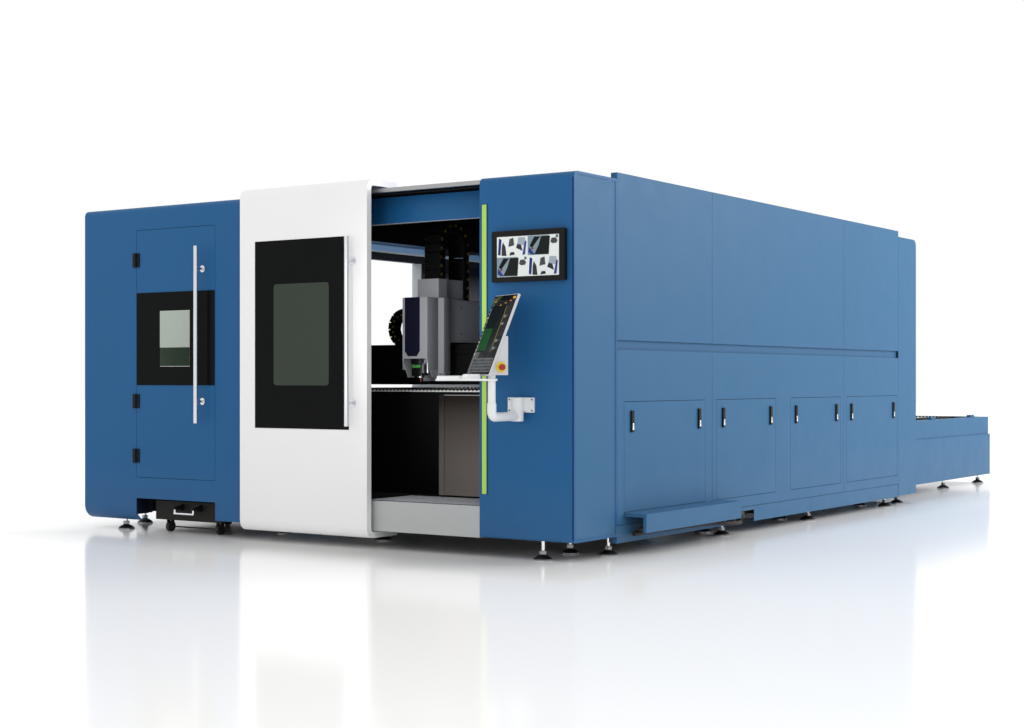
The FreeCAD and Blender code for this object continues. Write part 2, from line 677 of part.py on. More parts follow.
def chain_loop(straight_a, straight_b, centre, inner, outer, width, plane):
    """Half ring with two straight legs, as a drag chain lies: plane XZ or YZ."""
    a, c = centre
    if plane == "yz":
        ring = rod((straight_a, a, c), (1, 0, 0), outer, width)
        ring = ring.cut(rod((straight_a - 1, a, c), (1, 0, 0), inner, width + 2))
        ring = ring.cut(block(straight_a - 1, straight_a + width + 1, a - outer - 1, a + outer + 1,
                              c - outer - 1, c))
        legs = [block(straight_a, straight_a + width, a - outer, a - inner, straight_b[0], c + 0.01),
                block(straight_a, straight_a + width, a + inner, a + outer, straight_b[1], c + 0.01)]
    else:
        ring = rod((a, straight_a, c), (0, 1, 0), outer, width)
        ring = ring.cut(rod((a, straight_a - 1, c), (0, 1, 0), inner, width + 2))
        ring = ring.cut(block(a, a + outer + 1, straight_a - 1, straight_a + width + 1,
                              c - outer - 1, c + outer + 1))
        legs = [block(a - 0.01, straight_b[0], straight_a, straight_a + width, c - outer, c - inner),
                block(a - 0.01, straight_b[1], straight_a, straight_a + width, c + inner, c + outer)]
    return [fused([ring] + legs)]


def z_chain():
    """Drag chain that arches from the head up and back down to the carriage."""
    return chain_loop(HEAD_X - 37, (1758.0, 1623.0), (735.0, 1975.0), 105, 165, 134, "yz")


def x_chain():
    """Drag chain that rolls along the shelf behind the beam."""
    return chain_loop(1056, (-1330.0, -1340.0), (-2088.0, 1452.0), 85, 141, 84, "xz")


# ---------------------------------------------------------------- doors
def sliding_door():
    """White C-shaped door, wrapped over the cabinet's top and bottom."""
    right = DOOR_PARKED
    left = right - DOOR_WIDTH
    outer = block(left, right, DOOR_FACE, DOOR_BACK, DOOR_BOTTOM, DOOR_TOP)
    outer = rounded(
        outer, DOOR_ROUND, lambda p: near(p.y, DOOR_FACE) and (near(p.z, DOOR_TOP) or near(p.z, DOOR_BOTTOM))
    )
    in_y = DOOR_FACE + DOOR_SKIN
    in_top = DOOR_TOP - DOOR_FLANGE
    in_low = DOOR_BOTTOM + DOOR_FLANGE
    inner = block(left - 1, right + 1, in_y, DOOR_BACK + 1, in_low, in_top)
    inner = rounded(inner, 20, lambda p: near(p.y, in_y) and (near(p.z, in_top) or near(p.z, in_low)))
    door = outer.cut(inner)
    # sheet metal all round, hollow between the skins; the hollow ends at the window frame
    cavity = block(left + SHEET, right - SHEET, DOOR_FACE + SHEET, in_y - SHEET,
                   in_low + 30, in_top - 30)
    window = block(*window_span(), DOOR_FACE - 1, in_y + 1, 762, 2009)
    return [door.cut(cavity).cut(window)]


def window_span():
    """Left and right edges of the sliding door's window panel."""
    left = DOOR_PARKED - DOOR_WIDTH
    return left + 138, left + 953


def sliding_door_window():
    """Black window panel, open in the middle for the filter glass."""
    x0, x1 = window_span()
    panel = block(x0 + 1, x1 - 1, DOOR_FACE - 2, DOOR_FACE + 6, 763, 2008)
    left = DOOR_PARKED - DOOR_WIDTH
    opening = rounded_plate_y(left + 302, left + 785, DOOR_FACE - 3, DOOR_FACE + 7, 1046, 1720, 25)
    return [panel.cut(opening)]


def sliding_door_glass():
    """Green laser filter glass behind the window opening."""
    left = DOOR_PARKED - DOOR_WIDTH
    return [rounded_plate_y(left + 303, left + 784, DOOR_FACE, DOOR_FACE + 5, 1047, 1719, 24)]


def sliding_door_handle():
    return [bar_handle(DOOR_PARKED - 114, DOOR_FACE, 787, 2000, 65, (936, 1848))]


def service_door():
    """Hinged service door, a folded pan with its window hole."""
    gap = 3.0
    x0, x1 = SERVICE_LEFT + gap, SERVICE_RIGHT - gap
    z0, z1 = SERVICE_BOTTOM + gap, SERVICE_TOP - gap
    leaf = block(x0, x1, 0, 40, z0, z1)
    hollow = block(x0 + SHEET, x1 - SHEET, SHEET, 41, z0 + SHEET, z1 - SHEET)
    opening = block(-3446, -3149, -1, SHEET + 1, 1178, 1570)
    return [leaf.cut(hollow).cut(opening)]


def service_door_window():
    """Black panel across the service door, open round the clear pane."""
    panel = block(SERVICE_LEFT + 5, SERVICE_RIGHT - 5, -4, 0, 1046, 1703)
    return [panel.cut(block(-3446, -3149, -5, 1, 1178, 1570))]


def service_door_glass():
    return [block(-3445, -3150, -2, 2, 1179, 1569)]


def service_door_handle():
    return [bar_handle(-3026, 0, 784, 2008, 69, (934, 1853))]


HINGE_HEIGHTS = (541.0, 932.0, 1938.0)


def service_hinges():
    """Fixed hinge leaves with the outer knuckles and the pins."""
    pieces = []
    for z in HINGE_HEIGHTS:
        leaf = block(SERVICE_LEFT - 34, SERVICE_LEFT - 8, -6, 0, z - 50, z + 50)
        pin = rod((SERVICE_LEFT, HINGE_AXIS_Y, z - 49), (0, 0, 1), 3, 98)
        knuckles = []
        for low in (z - 50, z + 18):
            knuckles.append(rod((SERVICE_LEFT, HINGE_AXIS_Y, low), (0, 0, 1), 7, 32))
            knuckles.append(block(SERVICE_LEFT - 30, SERVICE_LEFT, -9, -6, low, low + 32))
        pieces.append(fused([leaf, pin] + knuckles))
    return pieces


def service_door_hinges():
    """Moving hinge leaves with the middle knuckles."""
    pieces = []
    for z in HINGE_HEIGHTS:
        leaf = block(SERVICE_LEFT + 8, SERVICE_LEFT + 34, -6, 0, z - 50, z + 50)
        knuckle = rod((SERVICE_LEFT, HINGE_AXIS_Y, z - 17), (0, 0, 1), 7, 34)
        web = block(SERVICE_LEFT, SERVICE_LEFT + 30, -9, -6, z - 17, z + 17)
        body = fused([leaf, knuckle, web])
        pieces.append(body.cut(rod((SERVICE_LEFT, HINGE_AXIS_Y, z - 60), (0, 0, 1), 3 + PIVOT_PLAY, 120)))
    return pieces


def access_panel(span):
    """Lift-off panel in the right cladding."""
    y0, y1 = span
    body = block(-22, 0, y0 + SEAM, y1 - SEAM, ACCESS_BOTTOM + SEAM, ACCESS_TOP - SEAM)
    hollow = block(-23, -SHEET, y0 + 2 * SEAM, y1 - 2 * SEAM, ACCESS_BOTTOM + 2 * SEAM, ACCESS_TOP - 2 * SEAM)
    return [body.cut(hollow)]


def latch(y):
    """Latch lever, hinged along its upper edge."""
    thick, wide, tall = LATCH_SIZE
    lever = block(1, 1 + thick, y - wide / 2, y + wide / 2, LATCH_TOP - tall, LATCH_TOP)
    return [rounded(lever, 5, lambda p: near(p.x, 1 + thick) and p.z < LATCH_TOP - 1)]


# ---------------------------------------------------------------- operator console
def arm_bracket():
    """Wall plate with the fixed upper half of the arm's swivel and its pivot pin."""
    plate = rounded_plate_y(-462, -275, -14, 0, 888, 978, 4)
    web = block(SWIVEL_X - 34, SWIVEL_X + 34, SWIVEL_Y, -10, 897, 978)
    drum = rod((SWIVEL_X, SWIVEL_Y, 895.5), (0, 0, 1), 37, 82.5)
    pin = rod((SWIVEL_X, SWIVEL_Y, 845), (0, 0, 1), 15, 60)
    return [fused([plate, web, drum, pin])]


def swing_arm():
    """Arm tube from the swivel hub to the elbow and the console post's collar."""
    tube, bend = 27.0, 34.0
    hub = rod((SWIVEL_X, SWIVEL_Y, 836), (0, 0, 1), 37, 59)
    run_start = V(SWIVEL_X, SWIVEL_Y - 20, ARM_HEIGHT)
    bend_start = V(SWIVEL_X, POST_Y + bend, ARM_HEIGHT)
    bend_end = V(SWIVEL_X, POST_Y, ARM_HEIGHT + bend)
    lean = bend * (1 - math.sqrt(0.5))
    bend_middle = V(SWIVEL_X, POST_Y + lean, ARM_HEIGHT + lean)
    path = Part.Wire([
        Part.LineSegment(run_start, bend_start).toShape(),
        Part.Arc(bend_start, bend_middle, bend_end).toShape(),
        Part.LineSegment(bend_end, V(SWIVEL_X, POST_Y, 947)).toShape(),
    ])
    circle = Part.Wire([Part.Circle(run_start, V(0, -1, 0), tube).toShape()])
    pipe = path.makePipeShell([circle], True, True)
    arm = fused([hub, pipe])
    arm = arm.cut(rod((SWIVEL_X, SWIVEL_Y, 840), (0, 0, 1), 15 + PIVOT_PLAY, 60))
    return [arm.cut(rod((SWIVEL_X, POST_Y, 900), (0, 0, 1), 18 + PIVOT_PLAY, 60))]


def on_console(shape):
    """Move a piece drawn about the post's axis, X to the right of the screen, to its place."""
    shape.rotate(V(0, 0, 0), V(0, 0, 1), CONSOLE_TURN)
    shape.translate(V(SWIVEL_X, POST_Y, 0))
    return shape


TRAY_TOP = 1090.0


def console_post():
    """Post on a spigot in the elbow, with the keyboard tray welded to it."""
    spigot = rod((0, 0, 903), (0, 0, 1), 18, 60)
    tube = rod((0, 0, 947.5), (0, 0, 1), 23, 1112 - 947.5)
    tray = block(-420, 30, -179, 26, TRAY_TOP - 12, TRAY_TOP)
    tray = rounded(tray, 10, lambda p: near(p.z, TRAY_TOP - 6))
    return [on_console(fused([spigot, tube, tray]))]


def control_box():
    """Wedge-shaped control housing behind the leaning screen."""
    slope = math.tan(math.radians(SCREEN_LEAN))
    foot = -46 + 18 / math.cos(math.radians(SCREEN_LEAN)) + 0.5
    low, high = 1112.0, 1340.0
    profile = [(-200, foot + (low - 1110) * slope, low), (-200, 82, low), (-200, 82, high),
               (-200, foot + (high - 1110) * slope, high)]
    return [on_console(prism(profile, (250, 0, 0)))]


def control_screen():
    """Portrait touch screen, leaning back."""
    slab = block(-265, 55, 0, 18, 0, 520)
    slab = rounded(slab, 14, lambda p: near(p.y, 9))
    slab.rotate(V(0, 0, 0), V(1, 0, 0), -SCREEN_LEAN)
    slab.translate(V(0, -46, 1110))
    return [on_console(slab)]


STOP_Y = 34.0
STOP_Z = 1158.0


def stop_collar():
    """Yellow collar of the emergency stop, on the housing's right side."""
    collar = rod((50, STOP_Y, STOP_Z), (1, 0, 0), 31, 10)
    return [on_console(collar.cut(rod((49, STOP_Y, STOP_Z), (1, 0, 0), 8 + PIVOT_PLAY, 12)))]


def emergency_stop():
    """Red mushroom button on its stem."""
    stem = rod((56.5, STOP_Y, STOP_Z), (1, 0, 0), 8, 12)
    head = rod((67, STOP_Y, STOP_Z), (1, 0, 0), 18, 15)
    head = rounded(head, 4, lambda p: near(p.x, 82))
    return [on_console(fused([stem, head]))]


def keyboard():
    """Keyboard and mouse, lying on the tray."""
    board = block(-442, -122, -160, -40, TRAY_TOP, TRAY_TOP + 16)
    board = rounded(board, 4, lambda p: near(p.z, TRAY_TOP + 16) or near(p.z, TRAY_TOP + 8))
    mouse = block(-84, -26, -155, -55, TRAY_TOP, TRAY_TOP + 28)
    mouse = rounded(mouse, 12, lambda p: near(p.z, TRAY_TOP + 28) or near(p.z, TRAY_TOP + 14))
    return [on_console(board), on_console(mouse)]


# ---------------------------------------------------------------- scrap trolley
def trolley():
    """Scrap bin with its pull handle and the caster forks welded under it."""
    x0, x1 = TROLLEY_LEFT, TROLLEY_RIGHT
    low, high = 92.0, 222.0
    bin_body = block(x0, x1, TROLLEY_FRONT, TROLLEY_BACK, low, high)
    bin_body = bin_body.cut(block(x0 + SHEET, x1 - SHEET, TROLLEY_FRONT + SHEET, TROLLEY_BACK - SHEET,
                                  low + SHEET, high + 1))
    apron = block(x0, x1, TROLLEY_FRONT, TROLLEY_FRONT + SHEET, 88, high)
    pieces = [bin_body, apron]
    for y in AXLE_Y:
        for x in (x0 + 92, x1 - 67):
            pieces.append(rod((x, y, 82), (0, 0, 1), 22, 11))
            for side in (-1, 1):
                cheek = block(x + side * 20 - 2, x + side * 20 + 2, y - 16, y + 16, 26, 84)
                pieces.append(cheek.cut(rod((x + side * 20 - 3, y, WHEEL_RADIUS), (1, 0, 0), 5.05, 6)))
    grip_x = x0 + 352
    grip_y = TROLLEY_FRONT - 70
    for side in (-1, 1):
        post_x = grip_x + side * 90
        pieces.append(block(post_x - 8, post_x + 8, grip_y - 8, TROLLEY_FRONT, 174, 192))
        pieces.append(rod((post_x, grip_y, 142), (0, 0, 1), 6, 36))
    pieces.append(rod((grip_x - 96, grip_y, 144), (1, 0, 0), 6.5, 192))
    return [fused(pieces)]


def wheel_pair(y):
    """Two caster wheels on one axle."""
    x0, x1 = TROLLEY_LEFT + 92, TROLLEY_RIGHT - 67
    axle = rod((x0 - 26, y, WHEEL_RADIUS), (1, 0, 0), 5, x1 - x0 + 52)
    pieces = [axle]
    for x in (x0, x1):
        wheel = rod((x - 15, y, WHEEL_RADIUS), (1, 0, 0), WHEEL_RADIUS, 30)
        pieces.append(rounded(wheel, 5, lambda p: near(abs(p.x - x), 15)))
    return [fused(pieces)]


# ---------------------------------------------------------------- assembly
def build():
    nodes = {
        "cabinet_frame": cabinet_frame(),
        "front_shell_left": front_shell_left(),
        "front_shell_right": front_shell_right(),
        "side_panels_right": side_panels_right(),
        "side_panels_left": side_panels_left(),
        "rear_shell": rear_shell(),
        "roof_panel": roof_panel(),
        "door_rail": door_rail(),
        "door_sill": door_sill(),
        "tread_plate": tread_plate(),
        "light_strip": light_strip(),
        "camera_monitor": camera_monitor(),
        "channel_cover": channel_cover(),
        "hoses": hoses(),
        "levelling_feet": levelling_feet(),
        "bed_frame": bed_frame(),
        "bed_apron": bed_apron(),
        "exchange_table": exchange_table(),
        "lift_platform": lift_platform(),
        "upper_pallet": upper_pallet(),
        "lower_pallet": lower_pallet(),
        "gantry_beam": gantry_beam(),
        "head_carriage": head_carriage(),
        "head_cover": head_cover(),
        "laser_head": laser_head(),
        "z_chain": z_chain(),
        "x_chain": x_chain(),
        "sliding_door": sliding_door(),
        "sliding_door_window": sliding_door_window(),
        "sliding_door_glass": sliding_door_glass(),
        "sliding_door_handle": sliding_door_handle(),
        "service_door": service_door(),
        "service_door_window": service_door_window(),
        "service_door_glass": service_door_glass(),
        "service_door_handle": service_door_handle(),
        "service_hinges": service_hinges(),
        "service_door_hinges": service_door_hinges(),
        "arm_bracket": arm_bracket(),
        "swing_arm": swing_arm(),
        "console_post": console_post(),
        "control_box": control_box(),
        "control_screen": control_screen(),
        "stop_collar": stop_collar(),
        "emergency_stop": emergency_stop(),
        "keyboard": keyboard(),
        "trolley": trolley(),
        "front_wheels": wheel_pair(AXLE_Y[0]),
        "rear_wheels": wheel_pair(AXLE_Y[1]),
    }
    for number, span in enumerate(ACCESS_SPANS, start=1):
        nodes["access_panel_%d" % number] = access_panel(span)
        nodes["latch_%da" % number] = latch(span[0] + LATCH_INSET)
        nodes["latch_%db" % number] = latch(span[1] - LATCH_INSET)
    return nodes


def footprint_centre(nodes):
    """Middle of the whole machine's footprint, where the origin goes."""
    box = FreeCAD.BoundBox()
    for solids in nodes.values():
        for solid in solids:
            box.add(solid.optimalBoundingBox(False, False))
    return V((box.XMin + box.XMax) / 2, (box.YMin + box.YMax) / 2, 0)


def main():
    nodes = build()
    centre = footprint_centre(nodes)
    print("origin in cabinet coordinates", centre)
    for name, solids in nodes.items():
        shape = solids[0] if len(solids) == 1 else Part.makeCompound(solids)
        shape.translate(centre * -1)
        shape.exportStep("parts/%s.step" % name)
        print(name, len(shape.Solids), "solids", shape.isValid())


main()
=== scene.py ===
# %% [markdown]
# # Dressing an enclosed laser cutter
# The machine's sheet metal, doors, gantry and console come ready-made from the frame, at
# their real size. This script gives each of them its finish, and adds what metal solids
# leave out: saw-toothed slats, chain links, screws, screens, keys and rubber feet.

import math

import bmesh
import bpy
from mathutils import Matrix, Vector


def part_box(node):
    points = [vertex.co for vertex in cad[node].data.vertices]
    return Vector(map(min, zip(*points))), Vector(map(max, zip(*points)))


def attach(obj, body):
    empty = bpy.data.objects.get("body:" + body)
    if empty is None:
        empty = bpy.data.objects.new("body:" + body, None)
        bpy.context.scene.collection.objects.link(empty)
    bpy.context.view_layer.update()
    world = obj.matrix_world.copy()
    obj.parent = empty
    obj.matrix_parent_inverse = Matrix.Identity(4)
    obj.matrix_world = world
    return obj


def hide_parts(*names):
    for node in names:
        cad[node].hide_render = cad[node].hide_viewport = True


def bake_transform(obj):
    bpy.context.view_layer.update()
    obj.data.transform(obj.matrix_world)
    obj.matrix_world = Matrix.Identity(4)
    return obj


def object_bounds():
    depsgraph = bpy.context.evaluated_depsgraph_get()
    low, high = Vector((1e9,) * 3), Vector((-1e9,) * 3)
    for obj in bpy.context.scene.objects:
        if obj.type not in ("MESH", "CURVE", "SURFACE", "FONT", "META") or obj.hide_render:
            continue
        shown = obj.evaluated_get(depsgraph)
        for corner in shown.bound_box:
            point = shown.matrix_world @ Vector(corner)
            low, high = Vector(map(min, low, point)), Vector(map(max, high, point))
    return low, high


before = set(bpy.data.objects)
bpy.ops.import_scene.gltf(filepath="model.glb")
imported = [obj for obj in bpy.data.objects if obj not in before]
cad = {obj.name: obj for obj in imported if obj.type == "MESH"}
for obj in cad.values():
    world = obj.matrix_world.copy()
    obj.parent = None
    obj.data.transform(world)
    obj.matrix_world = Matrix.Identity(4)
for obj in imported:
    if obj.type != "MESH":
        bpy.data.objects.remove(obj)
cad_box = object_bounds()

# %% [markdown]
# A workshop measures this machine from one corner: the foot of its right front edge.
# `at` takes millimetres right of that corner, behind it and above the floor, and gives
# the point in metres, so every size below reads like one on a drawing.

# %% The corner that everything is measured from
front_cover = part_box("front_shell_right")
CORNER = Vector((front_cover[1].x, front_cover[0].y, 0.0))


def at(x, y, z):
    return CORNER + Vector((x, y, z)) / 1000.0


print("corner:", [round(v, 4) for v in CORNER])

# %% [markdown]
# The camera stands at the right front, a little below eye level and quite far away, and
# looks level, so that all upright edges stay upright. The slight shift lifts the frame
# instead of tilting the camera.

# %% Camera
eye = at(5033, -8113, 1087)
look = Vector((-0.5593, 0.8290, 0.0))
camera_data = bpy.data.cameras.new("camera")
camera_data.sensor_width = 36.0
camera_data.lens = 56.96
camera_data.shift_y = 0.0150
camera_data.clip_end = 200.0
camera = bpy.data.objects.new("camera", camera_data)
camera.location = eye
camera.rotation_euler = look.to_track_quat("-Z", "Y").to_euler()
bpy.context.scene.collection.objects.link(camera)
bpy.context.scene.camera = camera
bpy.context.scene.view_settings.view_transform = "Standard"
print("camera at", [round(v, 3) for v in eye])

# %% [markdown]
# ## Finishes
# Paint charts give colours as 0 to 255; Blender's shaders want linear light. `chart`
# converts one to the other, so a colour can be written as a painter would read it.


# %% Colours from a paint chart
def chart(red, green, blue):
    linear = []
    for value in (red, green, blue):
        share = value / 255.0
        linear.append(share / 12.92 if share <= 0.04045 else ((share + 0.055) / 1.055) ** 2.4)
    return (*linear, 1.0)


# %% [markdown]
# Powder coat is sprayed as dust and baked. It is never quite even: it flows into a fine
# orange peel, and large panels differ a little in tone. Both effects are noise at very
# different scales. They sit in one node group, because all painted sheet metal shares them.


# %% Powder coat group
def group_sockets(group, inputs, outputs):
    for name, kind, value in inputs:
        socket = group.interface.new_socket(name, in_out="INPUT", socket_type=kind)
        socket.default_value = value
    for name, kind in outputs:
        group.interface.new_socket(name, in_out="OUTPUT", socket_type=kind)
    return group.nodes.new("NodeGroupInput"), group.nodes.new("NodeGroupOutput")


def noise(group, coords, scale, detail=3.0):
    texture = group.nodes.new("ShaderNodeTexNoise")
    texture.inputs["Detail"].default_value = detail
    if isinstance(scale, float):
        texture.inputs["Scale"].default_value = scale
    else:
        group.links.new(scale, texture.inputs["Scale"])
    group.links.new(coords, texture.inputs["Vector"])
    return texture.outputs["Fac"]


def spread(group, value, low, high):
    """Map a 0 to 1 value to low to high."""
    remap = group.nodes.new("ShaderNodeMapRange")
    group.links.new(value, remap.inputs["Value"])
    for name, level in (("To Min", low), ("To Max", high)):
        if isinstance(level, float):
            remap.inputs[name].default_value = level
        else:
            group.links.new(level, remap.inputs[name])
    return remap.outputs["Result"]


def bumped(group, height, strength, distance):
    bump = group.nodes.new("ShaderNodeBump")
    bump.inputs["Distance"].default_value = distance
    if isinstance(strength, float):
        bump.inputs["Strength"].default_value = strength
    else:
        group.links.new(strength, bump.inputs["Strength"])
    group.links.new(height, bump.inputs["Height"])
    return bump.outputs["Normal"]


powder = bpy.data.node_groups.new("powder coat", "ShaderNodeTree")
entry, leave = group_sockets(
    powder,
    [
        ("Color", "NodeSocketColor", (0.5, 0.5, 0.5, 1.0)),
        ("Gloss", "NodeSocketFloat", 0.4),
        ("Peel", "NodeSocketFloat", 0.05),
        ("Tone", "NodeSocketFloat", 0.04),
    ],
    [("Color", "NodeSocketColor"), ("Roughness", "NodeSocketFloat"), ("Normal", "NodeSocketVector")],
)
coords = powder.nodes.new("ShaderNodeTexCoord").outputs["Object"]
cloud = noise(powder, coords, 0.9, 2.0)
tone = powder.nodes.new("ShaderNodeHueSaturation")
shift = powder.nodes.new("ShaderNodeMath")
shift.operation = "MULTIPLY_ADD"
powder.links.new(entry.outputs["Tone"], shift.inputs[1])
powder.links.new(spread(powder, cloud, -1.0, 1.0), shift.inputs[0])
shift.inputs[2].default_value = 1.0
powder.links.new(shift.outputs[0], tone.inputs["Value"])
powder.links.new(entry.outputs["Color"], tone.inputs["Color"])
powder.links.new(tone.outputs["Color"], leave.inputs["Color"])
haze = noise(powder, coords, 6.0, 4.0)
rough = powder.nodes.new("ShaderNodeMath")
rough.operation = "MULTIPLY_ADD"
powder.links.new(spread(powder, haze, -0.08, 0.08), rough.inputs[0])
rough.inputs[1].default_value = 1.0
powder.links.new(entry.outputs["Gloss"], rough.inputs[2])
powder.links.new(rough.outputs[0], leave.inputs["Roughness"])
peel = noise(powder, coords, 420.0, 2.0)
powder.links.new(bumped(powder, peel, entry.outputs["Peel"], 0.0006), leave.inputs["Normal"])
print("powder coat group:", len(powder.nodes), "nodes")

# %% [markdown]
# Sheet metal near a workshop floor picks up a film of dust. The second group gives a
# mask that is strongest at the floor, fades out by knee height and is broken up by noise.

# %% Floor dust group
dust = bpy.data.node_groups.new("floor dust", "ShaderNodeTree")
entry, leave = group_sockets(
    dust,
    [("Reach", "NodeSocketFloat", 0.5), ("Amount", "NodeSocketFloat", 0.2)],
    [("Mask", "NodeSocketFloat")],
)
coords = dust.nodes.new("ShaderNodeTexCoord").outputs["Object"]
split = dust.nodes.new("ShaderNodeSeparateXYZ")
dust.links.new(coords, split.inputs["Vector"])
height = dust.nodes.new("ShaderNodeMapRange")
dust.links.new(split.outputs["Z"], height.inputs["Value"])
dust.links.new(entry.outputs["Reach"], height.inputs["From Max"])
height.inputs["To Min"].default_value = 1.0
height.inputs["To Max"].default_value = 0.0
patchy = spread(dust, noise(dust, coords, 9.0, 5.0), 0.4, 1.0)
first = dust.nodes.new("ShaderNodeMath")
first.operation = "MULTIPLY"
dust.links.new(height.outputs["Result"], first.inputs[0])
dust.links.new(patchy, first.inputs[1])
second = dust.nodes.new("ShaderNodeMath")
second.operation = "MULTIPLY"
dust.links.new(first.outputs[0], second.inputs[0])
dust.links.new(entry.outputs["Amount"], second.inputs[1])
dust.links.new(second.outputs[0], leave.inputs["Mask"])
print("floor dust group:", len(dust.nodes), "nodes")

# %% [markdown]
# Ground and polished bars carry fine lines along one direction. Noise that is squeezed
# across that direction and stretched along it draws such lines; they change the gloss
# and tilt the surface a little.

# %% Brushed metal group
brushed = bpy.data.node_groups.new("brushed lines", "ShaderNodeTree")
entry, leave = group_sockets(
    brushed,
    [
        ("Squeeze", "NodeSocketVector", (900.0, 900.0, 12.0)),
        ("Gloss", "NodeSocketFloat", 0.25),
        ("Depth", "NodeSocketFloat", 0.05),
    ],
    [("Roughness", "NodeSocketFloat"), ("Normal", "NodeSocketVector")],
)
coords = brushed.nodes.new("ShaderNodeTexCoord").outputs["Object"]
stretch = brushed.nodes.new("ShaderNodeVectorMath")
stretch.operation = "MULTIPLY"
brushed.links.new(coords, stretch.inputs[0])
brushed.links.new(entry.outputs["Squeeze"], stretch.inputs[1])
lines = noise(brushed, stretch.outputs["Vector"], 1.0, 2.0)
rough = brushed.nodes.new("ShaderNodeMath")
rough.operation = "MULTIPLY_ADD"
brushed.links.new(spread(brushed, lines, -0.1, 0.1), rough.inputs[0])
rough.inputs[1].default_value = 1.0
brushed.links.new(entry.outputs["Gloss"], rough.inputs[2])
brushed.links.new(rough.outputs[0], leave.inputs["Roughness"])
brushed.links.new(bumped(brushed, lines, entry.outputs["Depth"], 0.0004), leave.inputs["Normal"])
print("brushed lines group:", len(brushed.nodes), "nodes")

# %% [markdown]
# With the groups ready, each finish is a short recipe. `painted` makes powder-coated
# steel, with or without floor dust. The plain numbers, such as the coat, go straight on
# the shader's own sockets.


# %% Recipe for painted steel
def blank(name):
    material = bpy.data.materials.new(name)
    material.use_nodes = True
    tree = material.node_tree
    return material, tree, tree.nodes["Principled BSDF"]


def place_group(tree, group, values):
    node = tree.nodes.new("ShaderNodeGroup")
    node.node_tree = group
    for name, value in values.items():
        node.inputs[name].default_value = value
    return node


def painted(name, color, gloss=0.42, peel=0.05, tone=0.04, dusty=0.0, specular=0.5):
    material, tree, shader = blank(name)
    coat = place_group(tree, powder, {"Color": color, "Gloss": gloss, "Peel": peel, "Tone": tone})
    tint = coat.outputs["Color"]
    if dusty > 0:
        film = place_group(tree, dust, {"Reach": 0.55, "Amount": dusty})
        blend = tree.nodes.new("ShaderNodeMix")
        blend.data_type = "RGBA"
        tree.links.new(film.outputs["Mask"], blend.inputs["Factor"])
        tree.links.new(tint, blend.inputs["A"])
        blend.inputs["B"].default_value = chart(172, 168, 160)
        tint = blend.outputs["Result"]
    tree.links.new(tint, shader.inputs["Base Color"])
    tree.links.new(coat.outputs["Roughness"], shader.inputs["Roughness"])
    tree.links.new(coat.outputs["Normal"], shader.inputs["Normal"])
    shader.inputs["Specular IOR Level"].default_value = specular
    return material


blue_paint = painted("blue powder coat", chart(30, 90, 140), gloss=0.40, dusty=0.06, specular=0.18)
# The side cladding, rear, roof, channel cover and exchange table share a lighter copy of the front's blue: painted
# light, where the sides look more strongly lit.
blue_with_painted_light = painted("blue cladding with painted light", chart(52, 100, 138), gloss=0.44, dusty=0.06, specular=0.14)
# Dark blue for the seams and groove edges: painted shade in the gaps between panels.
seam_painted_shade = painted("seam blue painted shade", chart(14, 56, 104), gloss=0.45, specular=0.15)
white_paint = painted("white powder coat", chart(239, 239, 240), gloss=0.32, tone=0.01, dusty=0.03)
console_paint = painted("console white", chart(228, 230, 232), gloss=0.30, tone=0.01)
housing_paint = painted("console housing grey", chart(196, 198, 202), gloss=0.30, tone=0.01)
sill_paint = painted("sill grey", chart(176, 179, 179), gloss=0.35, tone=0.03)
frame_paint = painted("frame grey", chart(40, 41, 46), gloss=0.45, specular=0.08)
# Black for the header gap and the sheet under the roof is painted shade; the hanging gusset uses it too.
black_and_painted_shade = painted("inside black and painted shade", chart(12, 13, 13), gloss=0.60, specular=0.0)
# The left wall rail's pale blue is a painted highlight.
rail_painted_highlight = painted("rail blue painted highlight", chart(150, 190, 236), gloss=0.45, specular=0.2)
inner_light = painted("inside trim grey", chart(206, 212, 214), gloss=0.45, specular=0.2)
bed_paint = painted("bed grey brown", chart(46, 44, 43), gloss=0.50, tone=0.10, specular=0.1)
bed_black = painted("apron black", chart(13, 13, 14), gloss=0.50, tone=0.05, specular=0.06)
pallet_paint = painted("pallet black", chart(15, 16, 18), gloss=0.50, specular=0.1)
gantry_paint = painted("gantry black", chart(15, 16, 16), gloss=0.50, specular=0.08)
carriage_paint = painted("carriage grey", chart(150, 152, 158), gloss=0.38, specular=0.15)
hood_paint = painted("hood light grey", chart(154, 156, 160), gloss=0.36, specular=0.2)
navy_paint = painted("hood navy", chart(22, 24, 40), gloss=0.35, peel=0.02, specular=0.1)
trolley_paint = painted("trolley brown black", chart(30, 29, 28), gloss=0.40, dusty=0.03, specular=0.1)
bay_navy = painted("bay cheek navy", chart(18, 24, 44), gloss=0.5, specular=0.1)
print("paints:", len(bpy.data.materials))


# %% [markdown]
# Bare metal is fully metallic, so its colour is its reflection. Handles and nuts are
# polished, the guide rail is dull zinc and the step plate is bright aluminium.


# %% Recipe for bare metal
def bare_metal(name, color, gloss, squeeze=(900.0, 900.0, 12.0), depth=0.05):
    material, tree, shader = blank(name)
    lines = place_group(tree, brushed, {"Squeeze": squeeze, "Gloss": gloss, "Depth": depth})
    shader.inputs["Base Color"].default_value = color
    shader.inputs["Metallic"].default_value = 1.0
    tree.links.new(lines.outputs["Roughness"], shader.inputs["Roughness"])
    tree.links.new(lines.outputs["Normal"], shader.inputs["Normal"])
    return material


